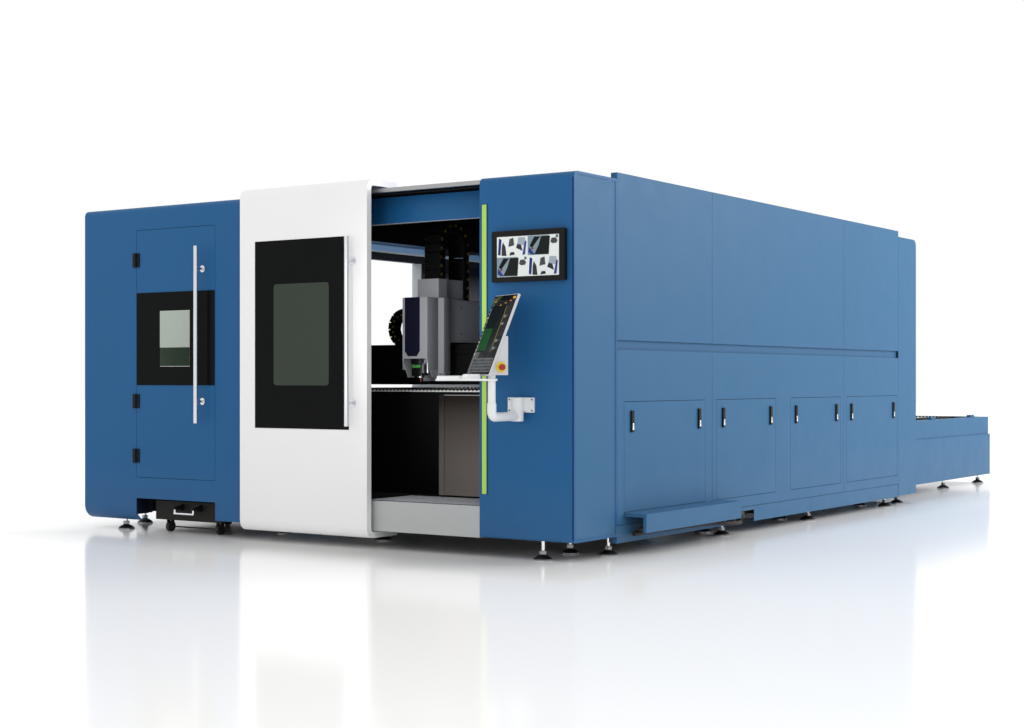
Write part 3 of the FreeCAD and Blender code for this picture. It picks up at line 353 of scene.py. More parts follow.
steel = bare_metal("polished steel", chart(214, 216, 220), 0.22)
chrome = bare_metal("chromed steel", chart(232, 233, 236), 0.12, (300.0, 300.0, 300.0), 0.01)
zinc = bare_metal("zinc plate", chart(168, 169, 170), 0.42, (40.0, 400.0, 400.0))
tread_metal = bare_metal("step aluminium", chart(96, 97, 104), 0.34, (40.0, 500.0, 500.0))
# Near-white raised bars on a dark plate: a painted highlight on the bars.
tread_bar_painted_highlight = painted("step bars painted highlight", chart(232, 234, 240), gloss=0.3, tone=0.1)
slat_steel = bare_metal("scorched slat steel", chart(226, 226, 224), 0.38, (30.0, 500.0, 500.0))
head_metal = bare_metal("machined aluminium", chart(168, 169, 172), 0.32, (400.0, 400.0, 20.0))
gold = bare_metal("gold chain pins", chart(214, 178, 70), 0.45, (300.0, 300.0, 300.0), 0.02)
copper = bare_metal("nozzle copper", chart(196, 120, 84), 0.25, (300.0, 300.0, 20.0))
print("metals:", len([m for m in bpy.data.materials if "steel" in m.name or "metal" in m.name]))


# %% [markdown]
# Plastics and rubber have a plain colour and differ in gloss and in the fine grain that
# the mould leaves. The grain is the same noise as the paint's peel, only stronger.


# %% Recipe for moulded plastic and rubber
def moulded(name, color, gloss, grain=0.15, specular=0.5, glow=0.0):
    material, tree, shader = blank(name)
    skin = place_group(tree, powder, {"Color": color, "Gloss": gloss, "Peel": grain, "Tone": 0.03})
    tree.links.new(skin.outputs["Color"], shader.inputs["Base Color"])
    tree.links.new(skin.outputs["Roughness"], shader.inputs["Roughness"])
    tree.links.new(skin.outputs["Normal"], shader.inputs["Normal"])
    shader.inputs["Specular IOR Level"].default_value = specular
    if glow > 0:
        tree.links.new(skin.outputs["Color"], shader.inputs["Emission Color"])
        shader.inputs["Emission Strength"].default_value = glow
    return material


black_plastic = moulded("black plastic", chart(20, 20, 21), 0.45, 0.15, 0.15)
chain_plastic = moulded("chain plastic", chart(16, 17, 17), 0.55, 0.15, 0.06)
panel_gloss = moulded("window panel black", chart(17, 19, 18), 0.12, 0.0, 0.04)
screen_black = moulded("screen black", chart(18, 19, 21), 0.14, 0.0, 0.08)
white_plastic = moulded("white plastic", chart(244, 244, 245), 0.35, 0.05)
grey_plastic = moulded("grey key plastic", chart(196, 198, 202), 0.4, 0.05)
foot_rubber = moulded("foot rubber", chart(24, 23, 23), 0.45, 0.3, 0.2)
wheel_rubber = moulded("wheel rubber", chart(20, 19, 19), 0.5, 0.3)
hose_rubber = moulded("hose rubber", chart(50, 43, 41), 0.55, 0.3, 0.2)
yellow_plastic = moulded("signal yellow", chart(222, 196, 52), 0.35, 0.05)
red_plastic = moulded("signal red", chart(150, 22, 26), 0.30, 0.05)
strip_light = moulded("status light", chart(160, 200, 84), 0.35, 0.0, glow=0.08)
print("materials so far:", len(bpy.data.materials))


# %% [markdown]
# The sliding door's window is thick green filter glass that stops the laser's light, so
# it looks almost opaque. The service door has an ordinary clear pane. Glass keeps its
# plain transmission, and its colour varies faintly from place to place.


# %% Glass
def glass(name, color, gloss, transmission, alpha=1.0):
    material, tree, shader = blank(name)
    wave = place_group(tree, powder, {"Color": color, "Gloss": gloss, "Peel": 0.0, "Tone": 0.02})
    tree.links.new(wave.outputs["Color"], shader.inputs["Base Color"])
    shader.inputs["Roughness"].default_value = gloss
    shader.inputs["Transmission Weight"].default_value = transmission
    shader.inputs["Alpha"].default_value = alpha
    shader.inputs["IOR"].default_value = 1.45
    return material


filter_glass = glass("laser filter glass", chart(26, 42, 26), 0.06, 0.0)
clear_glass = glass("clear pane", chart(214, 226, 214), 0.03, 0.9)


# %% [markdown]
# Every metal solid of the frame now gets its finish. The list reads as the painter's
# job sheet, and the loop fills each object's material slots.


# %% Paint the frame's own pieces
def finish_node(name, material):
    slots = cad[name].data.materials
    if len(slots) == 0:
        slots.append(material)
    for i in range(len(slots)):
        slots[i] = material


job_sheet = {
    blue_paint: ["front_shell_left", "front_shell_right", "service_door"],
    blue_with_painted_light: [
        "side_panels_right", "side_panels_left", "rear_shell", "roof_panel", "channel_cover",
        "exchange_table",
        "access_panel_1", "access_panel_2", "access_panel_3", "access_panel_4",
    ],
    white_paint: ["sliding_door"],
    console_paint: ["arm_bracket", "swing_arm", "console_post"],
    housing_paint: ["control_box"],
    white_plastic: ["keyboard"],
    sill_paint: ["door_sill"],
    frame_paint: ["cabinet_frame"],
    zinc: ["door_rail"],
    tread_metal: ["tread_plate"],
    strip_light: ["light_strip"],
    black_plastic: ["camera_monitor", "x_chain", "z_chain", "service_hinges", "service_door_hinges"],
    hose_rubber: ["hoses"],
    foot_rubber: ["levelling_feet"],
    bed_paint: ["bed_frame", "bed_apron"],
    gantry_paint: ["gantry_beam", "lift_platform"],
    pallet_paint: ["upper_pallet", "lower_pallet"],
    carriage_paint: ["head_carriage"],
    hood_paint: ["head_cover"],
    head_metal: ["laser_head"],
    panel_gloss: ["sliding_door_window", "service_door_window", "control_screen"],
    filter_glass: ["sliding_door_glass"],
    clear_glass: ["service_door_glass"],
    steel: ["sliding_door_handle", "service_door_handle"],
    yellow_plastic: ["stop_collar"],
    red_plastic: ["emergency_stop"],
    trolley_paint: ["trolley"],
    wheel_rubber: ["front_wheels", "rear_wheels"],
}
for number in (1, 2, 3, 4):
    for side in "ab":
        job_sheet[black_plastic].append("latch_%d%s" % (number, side))
for material, names in job_sheet.items():
    for name in names:
        finish_node(name, material)
print("painted", sum(len(names) for names in job_sheet.values()), "of", len(cad))

# %% [markdown]
# ## Tools of the trade
# Every added piece starts as a small bmesh: blocks, turned profiles or cut plates. Real
# sheet metal and castings have no razor edges, so each piece gets a small rounding that
# catches the light. `finished` turns the bmesh into an object that rides on its body.


# %% From a bmesh to a finished piece
def finished(name, bm, material, body, smooth_angle=35.0):
    bmesh.ops.recalc_face_normals(bm, faces=bm.faces)
    mesh = bpy.data.meshes.new(name)
    bm.to_mesh(mesh)
    bm.free()
    mesh.shade_smooth()
    mesh.set_sharp_from_angle(angle=math.radians(smooth_angle))
    mesh.materials.append(material)
    obj = bpy.data.objects.new(name, mesh)
    bpy.context.scene.collection.objects.link(obj)
    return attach(obj, body) if body else obj


def add_block(bm, low, high, rounding=0.0, turn=None):
    """Add one block between two corners, in millimetres, with rounded edges."""
    low, high = Vector(low) / 1000.0, Vector(high) / 1000.0
    made = bmesh.ops.create_cube(bm, size=1.0)
    size = high - low
    for vertex in made["verts"]:
        vertex.co = Vector(vertex.co[i] * size[i] for i in range(3)) + (low + high) / 2
    if rounding > 0:
        edges = {e for v in made["verts"] for e in v.link_edges}
        shape = bmesh.ops.bevel(
            bm, geom=list(edges), offset=rounding / 1000.0, segments=2, affect="EDGES", profile=0.5
        )
        corners = {v for f in shape["faces"] for v in f.verts}
    else:
        corners = set(made["verts"])
    return corners


def blocks(name, corners, material, body, rounding=1.5):
    """One piece from several blocks given as (x0, x1, y0, y1, z0, z1) from the corner."""
    bm = bmesh.new()
    for x0, x1, y0, y1, z0, z1 in corners:
        add_block(bm, (x0, y0, z0), (x1, y1, z1), rounding)
    bmesh.ops.translate(bm, verts=bm.verts, vec=CORNER)
    return finished(name, bm, material, body)


def plate(bm, outline, thickness):
    """Add a flat plate: outline points in millimetres, pushed along a thickness vector."""
    verts = [bm.verts.new(Vector(p) / 1000.0) for p in outline]
    face = bm.faces.new(verts)
    pushed = bmesh.ops.extrude_face_region(bm, geom=[face])
    moved = [v for v in pushed["geom"] if isinstance(v, bmesh.types.BMVert)]
    bmesh.ops.translate(bm, verts=moved, vec=Vector(thickness) / 1000.0)
    return verts + moved


def turned(bm, profile, segments=24, axis="z", centre=(0, 0, 0)):
    """Add a turned shape: (radius, height) points, closed at both ends."""
    rings = []
    for radius, height in profile:
        ring = []
        for i in range(segments):
            angle = 2 * math.pi * i / segments
            a, b, h = radius * math.cos(angle), radius * math.sin(angle), height
            spot = {"z": (a, b, h), "x": (h, a, b), "y": (b, h, a)}[axis]
            ring.append(bm.verts.new((Vector(spot) + Vector(centre)) / 1000.0))
        rings.append(ring)
    for lower, upper in zip(rings[:-1], rings[1:]):
        for i in range(segments):
            j = (i + 1) % segments
            bm.faces.new((lower[i], lower[j], upper[j], upper[i]))
    bm.faces.new(rings[0])
    bm.faces.new(rings[-1])
    return [v for ring in rings for v in ring]


print("tools ready")

# %% [markdown]
# Screws, keys, chain links and slats are one shape many times over. Geometry Nodes place
# them: a modifier takes named inputs, puts an instance on every point, and turns the lot
# into real faces. `grown` runs such a tree once and keeps the plain mesh.


# %% Running a node tree once
def new_tree(name, inputs):
    tree = bpy.data.node_groups.new(name, "GeometryNodeTree")
    tree.interface.new_socket("Geometry", in_out="INPUT", socket_type="NodeSocketGeometry")
    for label, kind in inputs:
        tree.interface.new_socket(label, in_out="INPUT", socket_type=kind)
    tree.interface.new_socket("Geometry", in_out="OUTPUT", socket_type="NodeSocketGeometry")
    return tree, tree.nodes.new("NodeGroupInput"), tree.nodes.new("NodeGroupOutput")


def join_up(tree, *pairs):
    for source, target in pairs:
        tree.links.new(source, target)


def grown(name, tree, seed_points, values, body):
    mesh = bpy.data.meshes.new(name)
    mesh.from_pydata([tuple(p) for p in seed_points], [], [])
    obj = bpy.data.objects.new(name, mesh)
    bpy.context.scene.collection.objects.link(obj)
    modifier = obj.modifiers.new(name, "NODES")
    modifier.node_group = tree
    for item in tree.interface.items_tree:
        if item.in_out == "INPUT" and item.name in values:
            modifier[item.identifier] = values[item.name]
    bpy.context.view_layer.update()
    depsgraph = bpy.context.evaluated_depsgraph_get()
    result = bpy.data.meshes.new_from_object(obj.evaluated_get(depsgraph))
    obj.modifiers.remove(modifier)
    obj.data = result
    result.name = name
    print(name, "has", len(result.polygons), "faces")
    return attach(obj, body)


def pattern_shape(name, bm):
    """A shape that node trees copy; it is taken away when the last copy is made."""
    mesh = bpy.data.meshes.new(name)
    bmesh.ops.recalc_face_normals(bm, faces=bm.faces)
    bm.to_mesh(mesh)
    bm.free()
    mesh.shade_smooth()
    mesh.set_sharp_from_angle(angle=math.radians(35))
    obj = bpy.data.objects.new(name, mesh)
    bpy.context.scene.collection.objects.link(obj)
    pattern_shapes.append(obj)
    return obj


pattern_shapes = []
scatter, entry, leave = new_tree(
    "copies on points",
    [("Shape", "NodeSocketObject"), ("Turn", "NodeSocketRotation"), ("Finish", "NodeSocketMaterial")],
)
shape_info = scatter.nodes.new("GeometryNodeObjectInfo")
on_points = scatter.nodes.new("GeometryNodeInstanceOnPoints")
realize = scatter.nodes.new("GeometryNodeRealizeInstances")
paint = scatter.nodes.new("GeometryNodeSetMaterial")
join_up(
    scatter,
    (entry.outputs["Shape"], shape_info.inputs["Object"]),
    (entry.outputs["Geometry"], on_points.inputs["Points"]),
    (shape_info.outputs["Geometry"], on_points.inputs["Instance"]),
    (entry.outputs["Turn"], on_points.inputs["Rotation"]),
    (on_points.outputs["Instances"], realize.inputs["Geometry"]),
    (realize.outputs["Geometry"], paint.inputs["Geometry"]),
    (entry.outputs["Finish"], paint.inputs["Material"]),
    (paint.outputs["Geometry"], leave.inputs["Geometry"]),
)
print("copies on points:", len(scatter.nodes), "nodes")

# %% [markdown]
# ## The cutting pallet
# Sheets rest on rows of upright slats with a saw-toothed edge, so that they touch the
# metal only at the tips. One slat follows a rule: a long strip whose upper corners drop
# at every second step. A node tree can draw that strip from a grid and repeat it.

# %% Tree for saw-toothed slats
slats, entry, leave = new_tree(
    "saw-toothed slats",
    [
        ("Length", "NodeSocketFloat"), ("Height", "NodeSocketFloat"), ("Tooth", "NodeSocketFloat"),
        ("Depth", "NodeSocketFloat"), ("Rows", "NodeSocketInt"), ("Pitch", "NodeSocketFloat"),
        ("Thickness", "NodeSocketFloat"), ("Finish", "NodeSocketMaterial"),
    ],
)


def math_node(tree, operation, a, b=None):
    node = tree.nodes.new("ShaderNodeMath")
    node.operation = operation
    for i, value in enumerate((a, b)):
        if value is None:
            continue
        if isinstance(value, (int, float)):
            node.inputs[i].default_value = value
        else:
            tree.links.new(value, node.inputs[i])
    return node.outputs[0]


steps = math_node(slats, "MULTIPLY", math_node(slats, "DIVIDE", entry.outputs["Length"], entry.outputs["Tooth"]), 2.0)
grid = slats.nodes.new("GeometryNodeMeshGrid")
join_up(
    slats,
    (entry.outputs["Length"], grid.inputs["Size X"]),
    (entry.outputs["Height"], grid.inputs["Size Y"]),
    (math_node(slats, "ADD", math_node(slats, "ROUND", steps), 1.0), grid.inputs["Vertices X"]),
)
grid.inputs["Vertices Y"].default_value = 2
place = slats.nodes.new("ShaderNodeSeparateXYZ")
slats.links.new(slats.nodes.new("GeometryNodeInputPosition").outputs["Position"], place.inputs["Vector"])
half_tooth = math_node(slats, "DIVIDE", entry.outputs["Tooth"], 2.0)
from_end = math_node(slats, "ADD", place.outputs["X"], math_node(slats, "DIVIDE", entry.outputs["Length"], 2.0))
wave = math_node(slats, "DIVIDE", math_node(slats, "PINGPONG", from_end, half_tooth), half_tooth)
drop = math_node(slats, "MULTIPLY", math_node(slats, "SUBTRACT", wave, 1.0), entry.outputs["Depth"])
upper_row = math_node(slats, "GREATER_THAN", place.outputs["Y"], 0.0)
offset = slats.nodes.new("ShaderNodeCombineXYZ")
slats.links.new(math_node(slats, "MULTIPLY", drop, upper_row), offset.inputs["Y"])
saw = slats.nodes.new("GeometryNodeSetPosition")
stand = slats.nodes.new("GeometryNodeTransform")
stand.inputs["Rotation"].default_value = (math.radians(90), 0, 0)
thick = slats.nodes.new("GeometryNodeExtrudeMesh")
thick.inputs["Individual"].default_value = False
both = slats.nodes.new("GeometryNodeJoinGeometry")
flip = slats.nodes.new("GeometryNodeFlipFaces")
rows = slats.nodes.new("GeometryNodeMeshLine")
step_along = slats.nodes.new("ShaderNodeCombineXYZ")
copies = slats.nodes.new("GeometryNodeInstanceOnPoints")
points_at = slats.nodes.new("GeometryNodeInstanceOnPoints")
realize = slats.nodes.new("GeometryNodeRealizeInstances")
paint = slats.nodes.new("GeometryNodeSetMaterial")
join_up(
    slats,
    (grid.outputs["Mesh"], saw.inputs["Geometry"]),
    (offset.outputs["Vector"], saw.inputs["Offset"]),
    (saw.outputs["Geometry"], stand.inputs["Geometry"]),
    (stand.outputs["Geometry"], thick.inputs["Mesh"]),
    (entry.outputs["Thickness"], thick.inputs["Offset Scale"]),
    (stand.outputs["Geometry"], flip.inputs["Mesh"]),
    (thick.outputs["Mesh"], both.inputs["Geometry"]),
    (flip.outputs["Mesh"], both.inputs["Geometry"]),
    (entry.outputs["Rows"], rows.inputs["Count"]),
    (entry.outputs["Pitch"], step_along.inputs["Y"]),
    (step_along.outputs["Vector"], rows.inputs["Offset"]),
    (rows.outputs["Mesh"], copies.inputs["Points"]),
    (both.outputs["Geometry"], copies.inputs["Instance"]),
    (entry.outputs["Geometry"], points_at.inputs["Points"]),
    (copies.outputs["Instances"], points_at.inputs["Instance"]),
    (points_at.outputs["Instances"], realize.inputs["Geometry"]),
    (realize.outputs["Geometry"], paint.inputs["Geometry"]),
    (entry.outputs["Finish"], paint.inputs["Material"]),
    (paint.outputs["Geometry"], leave.inputs["Geometry"]),
)
print("slat tree:", len(slats.nodes), "nodes")

# %% [markdown]
# The pallet under the slats is a welded frame on skids. Both pallets are alike, so one
# function makes either of them from the box of the metal solid that it stands for.

# %% Two pallets
PALLET_DEEP = 140.0
SLAT_PITCH = 105.0


def corner_box(node):
    """A node's box in millimetres from the corner: (x0, x1, y0, y1, z0, z1)."""
    low, high = (Vector(v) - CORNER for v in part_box(node))
    return tuple(1000 * v for pair in zip(low, high) for v in pair)


def make_pallet(name, node, body):
    x0, x1, y0, y1, z0, z1 = corner_box(node)
    low, high = z0 + 30, z1 - 4
    members = [
        (x0, x0 + 60, y0, y1, low, high), (x1 - 60, x1, y0, y1, low, high),
        (x0 + 60, x1 - 60, y0, y0 + 40, low, high), (x0 + 60, x1 - 60, y1 - 40, y1, low, high),
    ]
    for y in (y0 + 1000, y0 + 2030):
        members.append((x0 + 60, x1 - 60, y, y + 20, low, low + 30))
    for x in (x0 + 12, x1 - 52):
        for y in (y0 + 120, y0 + 1480, y0 + 2850):
            members.append((x, x + 40, y, y + 90, z0, low))
    base = blocks(name + "_base", members, pallet_paint, body, 3.0)
    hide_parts(node)
    count = int((y1 - y0 - 140) // SLAT_PITCH)
    first = (y0 + y1) / 2 - (count - 1) * SLAT_PITCH / 2
    row = grown(
        name + "_slats", slats, [at((x0 + x1) / 2, first + 2, (z1 + low + 31) / 2)],
        {
            "Length": (x1 - x0 - 122) / 1000, "Height": (z1 - low - 31) / 1000, "Tooth": 0.0372,
            "Depth": 0.022, "Rows": count, "Pitch": SLAT_PITCH / 1000, "Thickness": 0.004,
            "Finish": slat_steel,
        },
        body,
    )
    teeth = grown(
        name + "_front_teeth", slats, [at((x0 + x1) / 2, y0 - 4, high - 13)],
        {
            "Length": (x1 - x0 - 20) / 1000, "Height": 0.018, "Tooth": 0.031, "Depth": 0.017,
            "Rows": 1, "Pitch": SLAT_PITCH / 1000, "Thickness": 0.002, "Finish": front_teeth,
        },
        body,
    )
    return row


front_teeth = painted("bright toothed edge", chart(226, 226, 222), gloss=0.4)
make_pallet("upper_pallet", "upper_pallet", "upper_pallet")
make_pallet("lower_pallet", "lower_pallet", "pallet_lift")

# %% [markdown]
# ## Drag chains
# Cables to the moving head lie in chains of hinged links. A chain is a path with the same
# link all along it, so the path is drawn as a few points, resampled at the link pitch, and
# each sample gets a link that is turned along the path, and a pin at its outer edge.

# %% Tree for chains
chain, entry, leave = new_tree(
    "chain on a path",
    [("Shape", "NodeSocketObject"), ("Links", "NodeSocketInt"), ("Across", "NodeSocketVector"),
     ("Finish", "NodeSocketMaterial")],
)
to_curve = chain.nodes.new("GeometryNodeMeshToCurve")
resample = chain.nodes.new("GeometryNodeResampleCurve")
tangent = chain.nodes.new("GeometryNodeInputTangent")
along = chain.nodes.new("FunctionNodeAlignRotationToVector")
along.axis = "X"
sideways = chain.nodes.new("FunctionNodeAlignRotationToVector")
sideways.axis = "Y"
sideways.pivot_axis = "X"
shape_info = chain.nodes.new("GeometryNodeObjectInfo")
on_points = chain.nodes.new("GeometryNodeInstanceOnPoints")
realize = chain.nodes.new("GeometryNodeRealizeInstances")
paint = chain.nodes.new("GeometryNodeSetMaterial")
join_up(
    chain,
    (entry.outputs["Geometry"], to_curve.inputs["Mesh"]),
    (to_curve.outputs["Curve"], resample.inputs["Curve"]),
    (entry.outputs["Links"], resample.inputs["Count"]),
    (resample.outputs["Curve"], on_points.inputs["Points"]),
    (tangent.outputs["Tangent"], along.inputs["Vector"]),
    (along.outputs["Rotation"], sideways.inputs["Rotation"]),
    (entry.outputs["Across"], sideways.inputs["Vector"]),
    (entry.outputs["Shape"], shape_info.inputs["Object"]),
    (shape_info.outputs["Geometry"], on_points.inputs["Instance"]),
    (sideways.outputs["Rotation"], on_points.inputs["Rotation"]),
    (on_points.outputs["Instances"], realize.inputs["Geometry"]),
    (realize.outputs["Geometry"], paint.inputs["Geometry"]),
    (entry.outputs["Finish"], paint.inputs["Material"]),
    (paint.outputs["Geometry"], leave.inputs["Geometry"]),
)
print("chain tree:", len(chain.nodes), "nodes")


# %% Links and pins for both chains
def link_shape(name, pitch, wide, tall):
    """Two side plates and two cross bars."""
    bm = bmesh.new()
    half = pitch / 2 + 1.5
    for side in (-1, 1):
        y0, y1 = sorted((side * wide / 2, side * (wide / 2 - 7)))
        add_block(bm, (-half, y0, -tall / 2), (half, y1, tall / 2), 2.0)
    for z0, z1 in ((-tall / 2 + 0.5, -tall / 2 + 4), (tall / 2 - 4, tall / 2 - 0.5)):
        add_block(bm, (-half + 4, -wide / 2 + 6, z0), (half - 4, wide / 2 - 6, z1), 0.0)
    return pattern_shape(name, bm)


def pin_shape(name, wide, radius, lift):
    """A round pin head on each side plate."""
    bm = bmesh.new()
    for side in (-1, 1):
        profile = [(radius, 0), (radius, 1.4), (radius * 0.6, 2.0)]
        if side < 0:
            profile = [(r, -h) for r, h in profile]
        turned(bm, profile, 12, "y", (0, side * wide / 2, lift))
    return pattern_shape(name, bm)


def loop_points(centre, radius, first_end, second_end, plane, steps=24):
    """Points down one leg, round a half ring and along the other leg."""
    a, c = centre
    points = [first_end]
    for i in range(steps + 1):
        angle = math.pi * i / steps
        if plane == "yz":
            points.append((first_end[0], a - radius * math.cos(angle), c + radius * math.sin(angle)))
        else:
            points.append((a - radius * math.sin(angle), first_end[1], c - radius * math.cos(angle)))
    points.append(second_end)
    return [at(*p) for p in points]


def make_chain(name, node, body, points, across, pitch, wide, tall, pin, moving_end=None):
    """The black links replace the node; the gold pins ride with them.

    A moving end is a body and two points. Only whether one is given is read: the chain is
    then baked where it lies and rides on no body.
    """
    length = sum((b - a).length for a, b in zip(points[:-1], points[1:])) * 1000
    count = int(length // pitch) + 1
    for label, shape, finish in (
        ("_links", link_shape(name + " link", pitch, wide, tall), chain_plastic),
        ("_pins", pin_shape(name + " pin", wide, *pin), gold),
    ):
        mesh = bpy.data.meshes.new(name + label)
        mesh.from_pydata([tuple(p) for p in points], [(i, i + 1) for i in range(len(points) - 1)], [])
        obj = bpy.data.objects.new(name + label, mesh)
        bpy.context.scene.collection.objects.link(obj)
        modifier = obj.modifiers.new("chain", "NODES")
        modifier.node_group = chain
        values = {"Shape": shape, "Links": count, "Across": across, "Finish": finish}
        for item in chain.interface.items_tree:
            if item.in_out == "INPUT" and item.name in values:
                modifier[item.identifier] = values[item.name]
        bpy.context.view_layer.update()
        result = bpy.data.meshes.new_from_object(
            obj.evaluated_get(bpy.context.evaluated_depsgraph_get())
        )
        obj.modifiers.remove(modifier)
        obj.data = result
        obj if moving_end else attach(obj, body)
        if moving_end:
            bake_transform(obj)
    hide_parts(node)


x0, x1, y0, y1, z0, z1 = corner_box("z_chain")
z_middle = (x0 + x1) / 2
make_chain(
    "z_chain", "z_chain", "carriage",
    loop_points((735.0, 1975.0), 135.0, (z_middle, 600.0, 1788.0), (z_middle, 870.0, 1652.0), "yz"),
    (1.0, 0.0, 0.0), 56.0, 132.0, 58.0, (12.5, -16.0),
    moving_end=("head", (z_middle, 838.0, 1975.0), (z_middle, 632.0, 1975.0)),
)
x0, x1, y0, y1, z0, z1 = corner_box("x_chain")
x_middle = (y0 + y1) / 2
make_chain(
    "x_chain", "x_chain", "gantry",
    loop_points((-2088.0, 1452.0), 113.0, (-1355.0, x_middle, 1339.0), (-1368.0, x_middle, 1565.0), "xz"),
    (0.0, 1.0, 0.0), 46.0, 82.0, 54.0, (9.5, -16.0),
)

# %% [markdown]
# ## The cutting head
# The hood is folded from light grey sheet. Its navy face plate has cut lower corners and
# sits in a slim frame. Behind the open mouth hang the focus body, a coloured lens drawer
# and the nozzle's copper sleeve.

# %% Face plate, side strips, lens drawer and nozzle
HEAD_X = -1497.0
HOOD_X = -1477.0
HOOD_FRONT = 390.0
bm = bmesh.new()
face = [(-81, 0, 1629), (-81, 0, 1275), (-56, 0, 1240), (17, 0, 1240), (41, 0, 1275), (41, 0, 1629)]
plate(bm, face, (0, -3, 0))
bmesh.ops.translate(bm, verts=bm.verts, vec=at(HOOD_X, HOOD_FRONT - 0.2, 0))
finished("hood_face_plate", bm, navy_paint, "head")
# The hood's side and back strips are darker copies of its grey: painted shade.
hood_shade = painted("hood side painted shade", chart(148, 150, 154), gloss=0.4, specular=0.2)
hood_back_painted_shade = painted("hood back painted shade", chart(122, 124, 130), gloss=0.4, specular=0.2)
blocks("hood_side_strips", [
    (HOOD_X + side * 103 - 0.5, HOOD_X + side * 103 + 0.5, HOOD_FRONT + 3, HOOD_FRONT + 117, 1150, 1626)
    for side in (-1, 1)
], hood_shade, "head", 0.3)
blocks("hood_back_strips", [
    (HOOD_X + side * 130 - 0.5, HOOD_X + side * 130 + 0.5, HOOD_FRONT + 150, 609, 1135, 1626)
    for side in (-1, 1)
], hood_back_painted_shade, "head", 0.3)
drawer = moulded("lens drawer green", chart(60, 150, 60), 0.4, 0.05)
blocks("lens_drawer", [(HOOD_X - 30, HOOD_X + 30, 407, 414, 1164, 1182)], drawer, "head", 1.0)
blocks("focus_body", [
    (HOOD_X - 40, HOOD_X + 22, 407, 413, 1108, 1162), (HOOD_X - 46, HOOD_X + 14, 406, 412, 1188, 1222),
], gantry_paint, "head", 2.0)
bm = bmesh.new()
turned(bm, [(5, 1074), (7, 1080), (17, 1094), (20, 1100), (20, 1108), (14, 1112)], 24, "z", (HOOD_X, 455, 0))
bmesh.ops.translate(bm, verts=bm.verts, vec=CORNER)
finished("nozzle_sleeve", bm, copper, "head")

# %% [markdown]
# Screws are instances of one turned head with a hexagon socket. Each set below lists the
# spots on one body and the way its heads face.

# %% Screws
bm = bmesh.new()
turned(bm, [(4.6, -0.5), (5.0, 0.0), (5.0, 2.2), (4.2, 3.0), (2.6, 3.0), (2.4, 1.2)], 12)
screw = pattern_shape("socket screw", bm)
FACING = {"front": (math.radians(90), 0, 0), "right": (0, math.radians(90), 0)}
screw_dark = moulded("dark screw", chart(30, 30, 32), 0.35, 0.05)
screw_sets = {
    "carriage_screws": ("carriage", "right", [(HEAD_X + 135, y, z) for y in (752, 962) for z in (1392, 1572)]),
    "bracket_screws": ("machine", "front", [(x, -14, z) for x in (-450, -287) for z in (900, 966)]),
}
for label, (body, facing, spots) in screw_sets.items():
    grown(
        label, scatter, [at(*s) for s in spots],
        {"Shape": screw, "Turn": FACING[facing], "Finish": screw_dark}, body,
    )

# %% [markdown]
# ## Inside the doorway
# Behind the doorway hangs a header cover. The black strip above it and the black sheet under
# the roof are painted shade. The left wall ends in a pale blue rail, a painted highlight, with a
# trim, and its closed rear part has a lining that darkens towards the top, painted shade.

# %% A mask that follows the height
height_shade = bpy.data.node_groups.new("height shade", "ShaderNodeTree")
entry, leave = group_sockets(
    height_shade,
    [("Low", "NodeSocketFloat", 0.0), ("High", "NodeSocketFloat", 1.0)],
    [("Mask", "NodeSocketFloat")],
)
coords = height_shade.nodes.new("ShaderNodeTexCoord").outputs["Object"]
split = height_shade.nodes.new("ShaderNodeSeparateXYZ")
ramp = height_shade.nodes.new("ShaderNodeMapRange")
join_up(
    height_shade,
    (coords, split.inputs["Vector"]),
    (split.outputs["Z"], ramp.inputs["Value"]),
    (entry.outputs["Low"], ramp.inputs["From Min"]),
    (entry.outputs["High"], ramp.inputs["From Max"]),
    (ramp.outputs["Result"], leave.inputs["Mask"]),
)


def shade_by_height(name, low_color, high_color, low, high, gloss=0.45):
    """Powder coat whose colour runs from one height to another: painted shade."""
    material, tree, shader = blank(name)
    mask = place_group(tree, height_shade, {"Low": low, "High": high})
    blend = tree.nodes.new("ShaderNodeMix")
    blend.data_type = "RGBA"
    blend.inputs["A"].default_value = low_color
    blend.inputs["B"].default_value = high_color
    coat = place_group(tree, powder, {"Gloss": gloss, "Peel": 0.05, "Tone": 0.04})
    join_up(
        tree,
        (mask.outputs["Mask"], blend.inputs["Factor"]),
        (blend.outputs["Result"], coat.inputs["Color"]),
        (coat.outputs["Color"], shader.inputs["Base Color"]),
        (coat.outputs["Roughness"], shader.inputs["Roughness"]),
        (coat.outputs["Normal"], shader.inputs["Normal"]),
    )
    shader.inputs["Specular IOR Level"].default_value = 0.12
    return material


# Painted shade: the wall lining darkens towards the top, and the apron's right part towards its top.
lining = shade_by_height("wall lining painted shade", chart(214, 215, 218), chart(30, 34, 40), 1.35, 2.1)
apron_painted_shade = shade_by_height("apron grey brown painted shade", chart(148, 140, 134), chart(42, 37, 35), 0.33, 0.95)
print("height shade group:", len(height_shade.nodes), "nodes")

# %% Header cover, ceiling and left wall
doorway = (-1700.0, -681.0)
blocks("header_cover", [(*doorway, 185, 189, 2099, 2271)], blue_paint, "machine", 1.5)
blocks("header_edge", [(*doorway, 184, 186, 2097, 2100)], sill_paint, "machine", 0.5)
# The gap strip and the ceiling sheet are black sheets that stand in for shade: painted shade.
blocks("header_gap", [(*doorway, 186, 189, 2272, 2285)], black_and_painted_shade, "machine", 0.5)
blocks("ceiling_lining", [(-3420, -115, 262, 5205, 2232, 2235)], black_and_painted_shade, "machine", 1.0)
